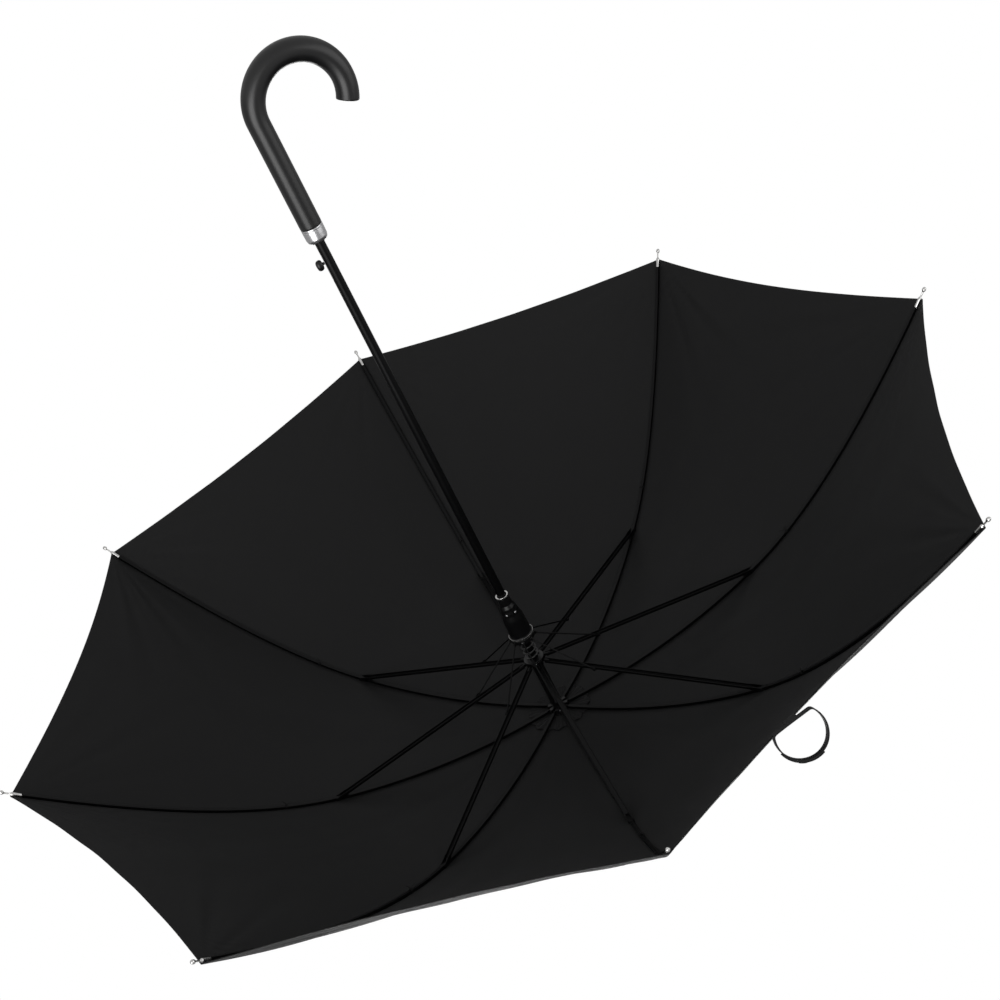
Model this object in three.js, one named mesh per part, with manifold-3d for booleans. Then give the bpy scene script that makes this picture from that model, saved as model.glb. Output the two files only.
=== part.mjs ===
// Stick umbrella with a crook handle, modelled open. Millimetres, +Z up along the shaft towards the
// ferrule. The origin is on the shaft's axis, level with the lowest point of the crook. The crook
// opens towards +X.
import * as THREE from 'three';
import { mergeVertices } from 'three/addons/utils/BufferGeometryUtils.js';
import Module from 'manifold-3d';

const wasm = await Module();
wasm.setup();

// ---- driving dimensions -------------------------------------------------------------------------

const ARMS = 8;
const FIRST_RIB_AZIMUTH = -36;

// crook handle
const CROOK_RADIUS = 42.3;
const CROOK_SWEEP = 209;
const GRIP_RADIUS = 10.2;
const CROOK_SWELL = 0.9;
const BEND_Z = CROOK_RADIUS + GRIP_RADIUS + CROOK_SWELL;
const GRIP_LENGTH = 100.6;
const SOCKET_DEPTH = 45;

// collar and shaft
const COLLAR_Z = BEND_Z + GRIP_LENGTH;
const COLLAR_HEIGHT = 15;
const SHAFT_RADIUS = 4.6;
const SHAFT_BORE = 3.8;
const SHAFT_END_Z = 790;
const GAP = 0.3;

// crown, ribs and stretchers: the rib's first part and the stretcher are equally long
const HINGE_RADIUS = 8.5;
const CROWN_HINGE_Z = 745.7;
const JOINT_RADIUS = 246;
const JOINT_DROP = 33.5;
const TIP_RADIUS = 515;
const TIP_DROP = 233.6;
const SLOPE_AT_JOINT = 19.3;
const SLOPE_AT_TIP = 45.3;
const OUTER_HANDLES = [96, 116];
const HUB_HINGE_Z = CROWN_HINGE_Z - 2 * JOINT_DROP;
const RIB = { width: 3.4, height: 3, wall: 0.6 };
const STRETCHER = { width: 5.2, height: 3, wall: 0.6 };
const WIRE_RADIUS = 0.5;
const EYE = { radius: 1.4, hole: 0.8, thickness: 1.6, reach: 9 };
const PIN_RADIUS = 0.8;
const CHANNEL_START = 4.6;
const JOINT_CLEARANCE = 2.6;
const EAR = { radius: 2, reach: 12, clearance: 0.35 };
const TIP_SLEEVE = 10;

// notched wheels that hold the ring wires
const WHEEL_RADIUS = 11;
const WHEEL_CORE = 6.2;
const NOTCH_WIDTH = 2.4;
const GROOVE_RADIUS = 0.9;
const FLANGE_FACE = 3.8;

// runner, links and spring
const RUNNER_RIM_Z = 589;
const RIM_HEIGHT = 2;
const RUNNER_LENGTH = 54.3;
const RUNNER_BORE = 5;
const RUNNER_TOP = 13;
const SPRING_BORE = 8.6;
const SPRING_SEAT = 30;
const LINK_RING_RADIUS = 12;
const LINK_RING_Z = 645.6;
const LINK_REACH = 62;
const LINK_RADIUS = 0.8;
const LINK_OFFSET = 3.6;
const RIVETS = { facing: 103, apart: 60, rise: 20.7, reach: 9.7 };
const SPRING = { coil: 7.1, wire: 0.8, turns: 6, steps: 9 };

// canopy
const CLOTH_LIFT = 3.2;
const CROWN_LIFT = 3.6;
const LIFT_FADE = 42;
const CLOTH = 1;
const CLOTH_HOLE = 12;
const CORNER_TO_BALL = 9;
const HEM_DIP = 12;
const PANEL_SAG = 14;
const ROSETTE_RADIUS = 35;

// tie strap, snapped into a loop that hangs from the hem: the loop's flat side lies along the hem
const STRAP = { radius: 25, flat: 13, width: 12, thickness: 1.2, panel: 2, along: 0.62, clear: 6,
	forward: 8 };
const STRAP_FACING = { azimuth: 103, elevation: - 31 };

// release catch in the shaft, above the collar
const KNOB_Z = 190;
const CATCH_SLOT = { low: 180, high: 210, width: 3 };

// ---- helpers ------------------------------------------------------------------------------------

const radians = THREE.MathUtils.degToRad;

const smooth = ( t ) => THREE.MathUtils.smoothstep( t, 0, 1 );

function finish( color, roughness, metalness = 0 ) {

	return new THREE.MeshStandardMaterial( { color, roughness, metalness } );

}

const cloth = () => finish( 0x1b1b1c, 0.9 );
const blackSteel = () => finish( 0x0c0c0d, 0.4, 0.6 );
const blackPlastic = () => finish( 0x131314, 0.45 );
const brightSteel = () => finish( 0xc8c9cc, 0.25, 1 );

// Keeps only positions, joins equal corners, drops empty triangles and turns the faces outwards.
function closed( geometry ) {

	for ( const name of Object.keys( geometry.attributes ) ) {

		if ( name !== 'position' ) geometry.deleteAttribute( name );

	}

	const merged = mergeVertices( geometry, 1e-4 );
	const kept = [];
	const index = merged.index.array;
	const at = ( i ) => new THREE.Vector3().fromBufferAttribute( merged.attributes.position, i );
	let volume = 0;

	for ( let i = 0; i < index.length; i += 3 ) {

		const [ a, b, c ] = index.slice( i, i + 3 );
		if ( a === b || b === c || c === a ) continue;
		kept.push( [ a, b, c ] );
		volume += at( a ).dot( at( b ).cross( at( c ) ) );

	}

	if ( volume < 0 ) kept.forEach( ( face ) => face.reverse() );
	merged.setIndex( kept.flat() );
	return merged;

}

function solidOf( geometry ) {

	const clean = closed( geometry );
	const vertProperties = new Float32Array( clean.attributes.position.array );
	const triVerts = new Uint32Array( clean.index.array );
	return new wasm.Manifold( new wasm.Mesh( { numProp: 3, vertProperties, triVerts } ) );

}

function geometryOf( solid ) {

	const mesh = solid.getMesh();
	const geometry = new THREE.BufferGeometry();
	geometry.setAttribute( 'position', new THREE.BufferAttribute( mesh.vertProperties, 3 ) );
	geometry.setIndex( new THREE.BufferAttribute( mesh.triVerts, 1 ) );
	return geometry;

}

function join( ...geometries ) {

	return geometryOf( geometries.map( solidOf ).reduce( ( sum, next ) => sum.add( next ) ) );

}

function cut( geometry, ...tools ) {

	const whole = solidOf( geometry );
	return geometryOf( tools.map( solidOf ).reduce( ( rest, tool ) => rest.subtract( tool ), whole ) );

}

// A turned piece about Z from [radius, z] corners; a ring's corners run all the way round its section.
function turned( corners, segments, isRing = false ) {

	const points = corners.map( ( [ r, z ] ) => new THREE.Vector2( r, z ) );
	if ( isRing ) points.push( points[ 0 ].clone() );
	return new THREE.LatheGeometry( points, segments ).rotateX( Math.PI / 2 );

}

function tube( outer, inner, low, high, segments ) {

	return turned( [ [ inner, low ], [ outer, low ], [ outer, high ], [ inner, high ] ], segments, true );

}

function torus( radius, wire, z, segments = 20 ) {

	return new THREE.TorusGeometry( radius, wire, 5, segments ).translate( 0, 0, z );

}

// A plate in the XZ plane, `thickness` wide in Y and centred on y = side.
function plate( shape, thickness, side = 0 ) {

	const options = { depth: thickness, bevelEnabled: false, curveSegments: 2 };
	const geometry = new THREE.ExtrudeGeometry( shape, options );
	return geometry.rotateX( Math.PI / 2 ).translate( 0, side + thickness / 2, 0 );

}

// A bar with round ends from (x, z) along an angle, with a hole at its start where hole > 0.
function eyeBar( x, z, degrees, length, radius, hole ) {

	const angle = radians( degrees );
	const shape = new THREE.Shape();
	shape.absarc( x, z, radius, angle + Math.PI / 2, angle + 1.5 * Math.PI );
	shape.absarc( x + length * Math.cos( angle ), z + length * Math.sin( angle ), radius,
		angle - Math.PI / 2, angle + Math.PI / 2 );
	shape.closePath();

	if ( hole > 0 ) {

		shape.holes.push( new THREE.Path().absarc( x, z, hole, 0, 2 * Math.PI, true ) );

	}

	return shape;

}

// A folded-steel channel section. Its open side faces down on a run that goes outwards from the axis,
// or up where openUp is true.
function channelSection( { width, height, wall }, openUp ) {

	const side = openUp ? - 1 : 1;
	const w = width / 2;
	const h = height / 2;
	const outline = [ [ - w, - h ], [ w, - h ], [ w, h ], [ w - wall, h ], [ w - wall, - h + wall ],
		[ - w + wall, - h + wall ], [ - w + wall, h ], [ - w, h ] ];
	return new THREE.Shape( outline.map( ( [ x, y ] ) => new THREE.Vector2( x, y * side ) ) );

}

function roundSection( radius, sides ) {

	const centre = new THREE.Vector2();
	const corner = ( i ) => new THREE.Vector2( radius, 0 ).rotateAround( centre, 2 * Math.PI * i / sides );
	return new THREE.Shape( Array.from( { length: sides }, ( _, i ) => corner( i ) ) );

}

function swept( section, path, steps ) {

	return new THREE.ExtrudeGeometry( section, { steps, extrudePath: path, bevelEnabled: false } );

}

// The stretch of a curve between two distances along it.
function stretchOf( curve, from, to, count ) {

	const length = curve.getLength();
	const at = ( i ) => curve.getPointAt( ( from + ( to - from ) * i / count ) / length );
	return new THREE.CatmullRomCurve3( Array.from( { length: count + 1 }, ( _, i ) => at( i ) ) );

}

const inPlane = ( r, z ) => new THREE.Vector3( r, 0, z );

// ---- the rib's two curves, in the plane of an arm -----------------------------------------------

const jointZ = CROWN_HINGE_Z - JOINT_DROP;
const tipZ = CROWN_HINGE_Z - TIP_DROP;
const innerChord = Math.hypot( JOINT_RADIUS - HINGE_RADIUS, JOINT_DROP );
const chordSlope = THREE.MathUtils.radToDeg( Math.atan2( JOINT_DROP, JOINT_RADIUS - HINGE_RADIUS ) );
const slopeAtCrown = 2 * chordSlope - SLOPE_AT_JOINT;

function ribCurve( start, startSlope, startHandle, end, endSlope, endHandle ) {

	const towards = ( slope, length ) => {

		const angle = radians( - slope );
		return inPlane( Math.cos( angle ), Math.sin( angle ) ).multiplyScalar( length );

	};

	return new THREE.CubicBezierCurve3( start, start.clone().add( towards( startSlope, startHandle ) ),
		end.clone().sub( towards( endSlope, endHandle ) ), end );

}

const innerCurve = ribCurve( inPlane( HINGE_RADIUS, CROWN_HINGE_Z ), slopeAtCrown, innerChord / 3,
	inPlane( JOINT_RADIUS, jointZ ), SLOPE_AT_JOINT, innerChord / 3 );
const outerCurve = ribCurve( inPlane( JOINT_RADIUS, jointZ ), SLOPE_AT_JOINT, OUTER_HANDLES[ 0 ],
	inPlane( TIP_RADIUS, tipZ ), SLOPE_AT_TIP, OUTER_HANDLES[ 1 ] );
const innerLength = innerCurve.getLength();
const outerLength = outerCurve.getLength();

// ---- handle end ---------------------------------------------------------------------------------

// The crook's centreline, from its free end round to the foot of the straight grip.
class CrookArc extends THREE.Curve {

	getPoint( t, target = new THREE.Vector3() ) {

		const angle = radians( CROOK_SWEEP ) * ( 1 - t );
		const x = CROOK_RADIUS * ( 1 - Math.cos( angle ) );
		return target.set( x, 0, BEND_Z - CROOK_RADIUS * Math.sin( angle ) );

	}

}

// The crook is a little fatter round its bend than at its two ends.
function handle() {

	const path = new THREE.CurvePath();
	path.add( new CrookArc() );
	path.add( new THREE.LineCurve3( inPlane( 0, BEND_Z ), inPlane( 0, COLLAR_Z - GAP ) ) );
	const body = swept( roundSection( GRIP_RADIUS, 12 ), path, 30 );
	const position = body.attributes.position;
	const centre = inPlane( CROOK_RADIUS, BEND_Z );

	for ( let i = 0; i < position.count; i ++ ) {

		const corner = new THREE.Vector3().fromBufferAttribute( position, i );
		if ( corner.z > BEND_Z + GRIP_RADIUS && corner.x < CROOK_RADIUS ) continue;
		const outwards = corner.clone().sub( centre ).setY( 0 ).normalize();
		const spinePoint = centre.clone().addScaledVector( outwards, CROOK_RADIUS );
		const fatter = 1 + CROOK_SWELL / GRIP_RADIUS * Math.max( 0, - outwards.z );
		corner.sub( spinePoint ).multiplyScalar( fatter ).add( spinePoint );
		position.setXYZ( i, corner.x, corner.y, corner.z );

	}

	const socket = turned( [ [ 0, COLLAR_Z - SOCKET_DEPTH ], [ SHAFT_RADIUS + GAP, COLLAR_Z - SOCKET_DEPTH ],
		[ SHAFT_RADIUS + GAP, COLLAR_Z + 1 ], [ 0, COLLAR_Z + 1 ] ], 16 );
	return cut( body, socket );

}

function collar() {

	const top = COLLAR_Z + COLLAR_HEIGHT;
	const bore = SHAFT_RADIUS + GAP;
	return turned( [ [ bore, COLLAR_Z ], [ GRIP_RADIUS, COLLAR_Z ], [ GRIP_RADIUS - 0.2, top - 4 ],
		[ GRIP_RADIUS - 1, top - 1 ], [ GRIP_RADIUS - 2.2, top ], [ bore, top ] ], 24, true );

}

function shaft() {

	const pipe = tube( SHAFT_RADIUS, SHAFT_BORE, COLLAR_Z - SOCKET_DEPTH + GAP, SHAFT_END_Z, 16 );
	const { low, high, width } = CATCH_SLOT;
	const slot = new THREE.BoxGeometry( SHAFT_RADIUS, width, high - low );
	return cut( pipe, slot.translate( - SHAFT_RADIUS, 0, ( low + high ) / 2 ) );

}

// The steel lever lies in the shaft's slot and the knob is on its lower end.
function catchLever() {

	const length = CATCH_SLOT.high - CATCH_SLOT.low - 3;
	return new THREE.BoxGeometry( 1, CATCH_SLOT.width - 1, length )
		.translate( - SHAFT_RADIUS + 0.6, 0, ( CATCH_SLOT.low + CATCH_SLOT.high ) / 2 );

}

function knob() {

	const start = SHAFT_RADIUS + 0.2;
	const profile = [ [ 0, start ], [ 1, start ], [ 1, 6.6 ], [ 3.4, 7 ], [ 4, 8.4 ], [ 4, 10.6 ], [ 3, 12.2 ],
		[ 0, 12.8 ] ];
	const round = turned( profile, 12 ).scale( 1, 0.85, 1 ).rotateY( - Math.PI / 2 );
	return round.scale( 1, 1, 1.3 ).translate( 0, 0, KNOB_Z );

}

// ---- wheels with notches for the arms -----------------------------------------------------------

// Teeth between the arms, a core and a groove for the ring wire; z runs from low to high, and a flange
// closes the side at flangeFrom.
function wheel( { radius, core, bore, wireRadius, notchAt, notchWidth, z, low, high } ) {

	const body = tube( radius, bore, z + low, z + high, 24 );
	const notches = Array.from( { length: ARMS }, ( _, i ) => {

		const notch = new THREE.BoxGeometry( radius, notchWidth, high - low + 2 );
		notch.translate( core + radius / 2, notchAt, z + ( low + high ) / 2 );
		return notch.rotateZ( radians( FIRST_RIB_AZIMUTH + i * 360 / ARMS ) );

	} );
	return cut( body, ...notches, torus( wireRadius, GROOVE_RADIUS, z ) );

}

const ARM_WHEEL = { radius: WHEEL_RADIUS, core: WHEEL_CORE, bore: SHAFT_RADIUS + GAP,
	wireRadius: HINGE_RADIUS, notchAt: 0, notchWidth: NOTCH_WIDTH };

// The crown's wheel has a long sleeve below it, which the hub stops against.
function crownWheel() {

	const teeth = wheel( { ...ARM_WHEEL, z: CROWN_HINGE_Z, low: - 3.4, high: 2.2 } );
	const bore = SHAFT_RADIUS + GAP;
	const flange = tube( WHEEL_RADIUS, bore, CROWN_HINGE_Z + 2, CROWN_HINGE_Z + FLANGE_FACE, 24 );
	const stop = tube( WHEEL_CORE - GAP, bore, HUB_HINGE_Z + FLANGE_FACE, CROWN_HINGE_Z - 3, 16 );
	return join( teeth, flange, stop );

}

function hubWheel() {

	const teeth = wheel( { ...ARM_WHEEL, z: HUB_HINGE_Z, low: - 2.2, high: 3.4 } );
	const flange = tube( WHEEL_RADIUS, SHAFT_RADIUS + GAP, HUB_HINGE_Z - FLANGE_FACE, HUB_HINGE_Z - 2, 24 );
	return join( teeth, flange );

}

function runner() {

	const z = RUNNER_RIM_Z;
	const barrelTop = z + RUNNER_LENGTH;
	const barrel = turned( [ [ RUNNER_BORE, z + RIM_HEIGHT ], [ 6.4, z + RIM_HEIGHT ], [ 6.6, z + 11 ],
		[ 8.6, z + 17 ], [ 9.6, z + 23 ], [ 11.2, z + 31 ], [ 11.8, barrelTop - 3.5 ], [ RUNNER_TOP, barrelTop - 3 ],
		[ RUNNER_TOP, barrelTop ], [ SPRING_BORE, barrelTop ], [ SPRING_BORE, z + SPRING_SEAT ],
		[ RUNNER_BORE, z + SPRING_SEAT ] ], 24, true );
	const low = barrelTop - LINK_RING_Z - 0.4;
	const teeth = wheel( { radius: RUNNER_TOP, core: 10, bore: SPRING_BORE, wireRadius: LINK_RING_RADIUS,
		notchAt: LINK_OFFSET, notchWidth: 2.2, z: LINK_RING_Z, low, high: 1.6 } );
	return join( barrel, teeth );

}

function runnerRim() {

	return tube( 6.9, RUNNER_BORE, RUNNER_RIM_Z, RUNNER_RIM_Z + RIM_HEIGHT - GAP, 24 );

}

function mainSpring() {

	const bottom = RUNNER_RIM_Z + SPRING_SEAT + SPRING.wire + GAP;
	const top = HUB_HINGE_Z - FLANGE_FACE - SPRING.wire - GAP;
	const count = SPRING.turns * SPRING.steps;
	const points = Array.from( { length: count + 1 }, ( _, i ) => {

		const angle = 2 * Math.PI * i / SPRING.steps;
		return new THREE.Vector3( SPRING.coil * Math.cos( angle ), SPRING.coil * Math.sin( angle ),
			bottom + ( top - bottom ) * i / count );

	} );
	return swept( roundSection( SPRING.wire, 5 ), new THREE.CatmullRomCurve3( points ), count );

}

// ---- one arm, in the XZ plane -------------------------------------------------------------------

function ribInner() {

	const { radius, hole, thickness, reach } = EYE;
	const run = stretchOf( innerCurve, CHANNEL_START, innerLength - CHANNEL_START, 6 );
	const channel = swept( channelSection( RIB, false ), run, 6 );
	const crownBar = eyeBar( HINGE_RADIUS, CROWN_HINGE_Z, - slopeAtCrown, reach, radius, hole );
	const tongueBar = eyeBar( JOINT_RADIUS, jointZ, 180 - SLOPE_AT_JOINT, reach, radius, 0 );
	const pin = new THREE.CylinderGeometry( PIN_RADIUS, PIN_RADIUS, STRETCHER.width + 1, 6 )
		.translate( JOINT_RADIUS, 0, jointZ );
	return join( channel, plate( crownBar, thickness ), plate( tongueBar, thickness ), pin );

}

function ribOuter() {

	const end = outerLength - CORNER_TO_BALL - TIP_SLEEVE - GAP;
	return swept( channelSection( RIB, false ), stretchOf( outerCurve, JOINT_CLEARANCE, end, 10 ), 10 );

}

// The nickel tip: a sleeve over the rib's end, a thin neck that the cloth is sewn to, and a ball.
function tip() {

	const start = - CORNER_TO_BALL - TIP_SLEEVE;
	const profile = [ [ 0, start ], [ 2.2, start ], [ 2.2, - CORNER_TO_BALL ], [ 1.2, - 7.5 ], [ 1.2, - 3 ],
		[ 2.4, - 1.8 ], [ 3, 0 ], [ 2.1, 2.1 ], [ 0, 3 ] ];
	const piece = new THREE.Object3D();
	piece.rotation.y = radians( 90 + SLOPE_AT_TIP );
	piece.position.set( TIP_RADIUS, 0, tipZ );
	piece.updateMatrix();
	return turned( profile, 6 ).applyMatrix4( piece.matrix );

}

function stretcher() {

	const along = ( d ) => inPlane( HINGE_RADIUS + d * Math.cos( radians( chordSlope ) ),
		HUB_HINGE_Z + d * Math.sin( radians( chordSlope ) ) );
	const { width, wall } = STRETCHER;
	const run = new THREE.LineCurve3( along( CHANNEL_START ), along( innerChord - EAR.reach + EAR.radius ) );
	const channel = swept( channelSection( STRETCHER, true ), run, 1 );
	const bar = eyeBar( HINGE_RADIUS, HUB_HINGE_Z, chordSlope, EYE.reach, EYE.radius, EYE.hole );
	const { radius, reach, clearance } = EAR;
	const ear = eyeBar( JOINT_RADIUS, jointZ, 180 + chordSlope, reach, radius, PIN_RADIUS + clearance );
	const side = ( width - wall ) / 2;
	return join( channel, plate( bar, EYE.thickness ), plate( ear, wall, side ), plate( ear, wall, - side ) );

}

// The link's foot turns on the runner's ring wire; its head ends beside the stretcher's wall.
function link() {

	const footX = Math.sqrt( LINK_RING_RADIUS ** 2 - LINK_OFFSET ** 2 );
	const headX = HINGE_RADIUS + LINK_REACH * Math.cos( radians( chordSlope ) );
	const headZ = HUB_HINGE_Z + LINK_REACH * Math.sin( radians( chordSlope ) );
	const angle = Math.atan2( headZ - LINK_RING_Z, headX - footX );
	const fromEye = 1.6;
	const start = new THREE.Vector3( footX + fromEye * Math.cos( angle ), LINK_OFFSET,
		LINK_RING_Z + fromEye * Math.sin( angle ) );
	const head = new THREE.Vector3( headX, LINK_OFFSET, headZ );
	const wire = swept( roundSection( LINK_RADIUS, 6 ), new THREE.LineCurve3( start, head ), 1 );
	const foot = eyeBar( footX, LINK_RING_Z, THREE.MathUtils.radToDeg( angle ), 3, EYE.radius, 1 );
	return join( wire, plate( foot, 1.2, LINK_OFFSET ) );

}

// ---- canopy -------------------------------------------------------------------------------------

// The cloth's inner face over a rib, at a distance along it, and how far it stands above the rib.
function clothOverRib( distance, extra ) {

	const onInner = distance < innerLength;
	const curve = onInner ? innerCurve : outerCurve;
	const u = onInner ? distance / innerLength : ( distance - innerLength ) / outerLength;
	const point = curve.getPointAt( u );
	const tangent = curve.getTangentAt( u );
	const lift = CLOTH_LIFT + ( CROWN_LIFT - CLOTH_LIFT + 1 ) * ( 1 - smooth( distance / LIFT_FADE ) ) + extra;
	return { r: point.x - tangent.z * lift, z: point.z + tangent.x * lift };

}

// A point of the cloth: u runs from the hole to the hem, v from one rib to the next. Between the ribs
// the cloth lies on the chord, a little sagged, and the hem curves inwards.
function clothPoint( u, v, panel, extra ) {

	const middle = 4 * v * ( 1 - v );
	const start = CLOTH_HOLE - HINGE_RADIUS;
	const end = innerLength + outerLength - CORNER_TO_BALL - HEM_DIP * middle;
	const { r, z } = clothOverRib( start + ( end - start ) * u, extra );
	const [ a, b ] = [ panel, panel + 1 ].map( ( i ) => radians( FIRST_RIB_AZIMUTH + i * 360 / ARMS ) );
	const pull = PANEL_SAG * middle * u ** 1.6;
	const point = new THREE.Vector3( r * Math.cos( a ), r * Math.sin( a ), z )
		.lerp( new THREE.Vector3( r * Math.cos( b ), r * Math.sin( b ), z ), v );
	const slope = u * radians( SLOPE_AT_TIP );
	const inwards = new THREE.Vector3( point.x, point.y, 0 ).normalize().multiplyScalar( - Math.sin( slope ) );
	inwards.z = - Math.cos( slope );
	return point.addScaledVector( inwards, pull );

}

// A closed sheet: two faces of the same grid, joined round the hole and round the hem.
function canopy() {

	const columns = 4;
	const rings = 13;
	const around = ARMS * columns;
	const positions = [];

	for ( const extra of [ 0, CLOTH ] ) {

		for ( let ring = 0; ring <= rings; ring ++ ) {

			for ( let i = 0; i < around; i ++ ) {

				const panel = Math.floor( i / columns );
				const point = clothPoint( ring / rings, ( i % columns ) / columns, panel, extra );
				positions.push( ...point );

			}

		}

	}

	const faces = [];
	const face = ( a, b, c, d ) => faces.push( a, b, c, a, c, d );
	const at = ( side, ring, i ) => ( side * ( rings + 1 ) + ring ) * around + i % around;

	for ( let i = 0; i < around; i ++ ) {

		for ( let ring = 0; ring < rings; ring ++ ) {

			face( at( 1, ring, i ), at( 1, ring + 1, i ), at( 1, ring + 1, i + 1 ), at( 1, ring, i + 1 ) );
			face( at( 0, ring, i ), at( 0, ring, i + 1 ), at( 0, ring + 1, i + 1 ), at( 0, ring + 1, i ) );

		}

		face( at( 0, 0, i ), at( 1, 0, i ), at( 1, 0, i + 1 ), at( 0, 0, i + 1 ) );
		face( at( 0, rings, i ), at( 0, rings, i + 1 ), at( 1, rings, i + 1 ), at( 1, rings, i ) );

	}

	const geometry = new THREE.BufferGeometry();
	geometry.setAttribute( 'position', new THREE.Float32BufferAttribute( positions, 3 ) );
	geometry.setIndex( faces );
	return geometry;

}

function rosette() {

	const face = ( below ) => [ 4, 12, 20, ROSETTE_RADIUS - HINGE_RADIUS ].map( ( distance ) => {

		const { r, z } = clothOverRib( distance, - below );
		return [ r, z ];

	} );
	return turned( [ ...face( 1.8 ), ...face( 1.2 ).reverse() ], 16, true );

}

// The loop's width faces STRAP_FACING, and its flat side is parallel to the hem.
function strap() {

	const { radius, flat, width, thickness, panel, along: share, clear, forward } = STRAP;
	const loop = ( r, y ) => {

		const corner = Math.asin( y / r );
		return [ corner, Math.PI - corner ];

	};

	const [ from, to ] = loop( radius, - flat );
	const [ innerFrom, innerTo ] = loop( radius - thickness, thickness - flat );
	const band = new THREE.Shape().absarc( 0, 0, radius, from, to );
	band.closePath();
	const inside = new THREE.Path().absarc( 0, 0, radius - thickness, innerTo, innerFrom, true );
	inside.closePath();
	band.holes.push( inside );
	const down = radians( STRAP_FACING.elevation );
	const facing = inPlane( Math.cos( down ), Math.sin( down ) );
	facing.applyAxisAngle( new THREE.Vector3( 0, 0, 1 ), radians( STRAP_FACING.azimuth ) );
	const anchor = clothPoint( 1, share, panel, CLOTH );
	const hem = new THREE.Vector3( - anchor.y, anchor.x, 0 ).normalize();
	const along = hem.clone().addScaledVector( facing, - hem.dot( facing ) ).normalize();
	const away = facing.clone().cross( along );
	const pose = new THREE.Matrix4().makeBasis( along, away, facing );
	pose.setPosition( anchor.addScaledVector( away, flat + clear ).addScaledVector( facing, forward ) );
	return new THREE.ExtrudeGeometry( band, { depth: width, bevelEnabled: false, curveSegments: 20 } )
		.translate( 0, 0, - width / 2 ).applyMatrix4( pose );

}

// ---- crown end ----------------------------------------------------------------------------------

function topCap() {

	const low = CROWN_HINGE_Z + 8;
	const bore = SHAFT_RADIUS + GAP;
	return turned( [ [ bore, low ], [ 15, low ], [ 15, low + 1.2 ], [ 12, low + 3 ], [ 8, low + 5 ],
		[ 6.6, low + 9 ], [ bore, low + 9 ] ], 24, true );

}

function ferrule() {

	const low = CROWN_HINGE_Z + 17.3;
	const bore = SHAFT_RADIUS + GAP;
	return turned( [ [ bore, low ], [ 6.2, low ], [ 6, low + 8 ], [ 4.4, low + 50 ], [ 4.6, low + 54 ],
		[ 3.4, low + 57 ], [ 0, low + 57 ], [ 0, SHAFT_END_Z + GAP ], [ bore, SHAFT_END_Z + GAP ] ], 16, true );

}

// ---- assembly -----------------------------------------------------------------------------------

const umbrella = new THREE.Group();

function place( name, geometry, material, parent = umbrella ) {

	const mesh = new THREE.Mesh( closed( geometry ), material );
	mesh.name = name;
	parent.add( mesh );
	return mesh;

}

function placeRivets() {

	for ( const number of [ 1, 2 ] ) {

		const facing = new THREE.Group();
		facing.rotation.z = radians( RIVETS.facing + RIVETS.apart * ( number - 1.5 ) );
		facing.position.z = RUNNER_RIM_Z + RIVETS.rise;
		umbrella.add( facing );
		const head = turned( [ [ 0, 0 ], [ 1.4, 0 ], [ 1, 0.7 ], [ 0, 0.9 ] ], 10 ).rotateY( Math.PI / 2 );
		place( `runner_rivet_${ number }`, head.translate( RIVETS.reach, 0, 0 ), brightSteel(), facing );

	}

}

function placeArms() {

	const pieces = { rib_inner: ribInner(), rib_outer: ribOuter(), stretcher: stretcher(), link: link(),
		tip: tip() };

	for ( let i = 0; i < ARMS; i ++ ) {

		const arm = new THREE.Group();
		arm.rotation.z = radians( FIRST_RIB_AZIMUTH + i * 360 / ARMS );
		umbrella.add( arm );

		for ( const [ name, geometry ] of Object.entries( pieces ) ) {

			const material = name === 'tip' ? brightSteel() : blackSteel();
			place( `${ name }_${ i + 1 }`, geometry.clone(), material, arm );

		}

	}

}

place( 'handle', handle(), blackPlastic() );
place( 'handle_collar', collar(), brightSteel() );
place( 'shaft', shaft(), blackSteel() );
place( 'catch_lever', catchLever(), brightSteel() );
place( 'release_knob', knob(), blackPlastic() );
place( 'crown_notch', crownWheel(), blackPlastic() );
place( 'crown_wire', torus( HINGE_RADIUS, WIRE_RADIUS, CROWN_HINGE_Z ), brightSteel() );
place( 'top_cap', topCap(), blackPlastic() );
place( 'ferrule', ferrule(), brightSteel() );
place( 'hub', hubWheel(), blackPlastic() );
place( 'hub_wire', torus( HINGE_RADIUS, WIRE_RADIUS, HUB_HINGE_Z ), brightSteel() );
place( 'main_spring', mainSpring(), blackSteel() );
place( 'runner', runner(), blackPlastic() );
place( 'runner_wire', torus( LINK_RING_RADIUS, WIRE_RADIUS, LINK_RING_Z ), brightSteel() );
place( 'runner_rim', runnerRim(), brightSteel() );
placeRivets();
placeArms();
place( 'canopy', canopy(), cloth() );
place( 'inner_rosette', rosette(), cloth() );
place( 'tie_strap', strap(), cloth() );

export default umbrella;
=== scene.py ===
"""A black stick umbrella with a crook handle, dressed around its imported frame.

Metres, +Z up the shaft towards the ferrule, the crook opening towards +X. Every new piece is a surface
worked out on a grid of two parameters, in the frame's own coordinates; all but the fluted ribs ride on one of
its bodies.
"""

import logging
import math
from dataclasses import dataclass, field
from enum import Enum

import bmesh
import bpy
import numpy as np
from mathutils import Matrix


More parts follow.
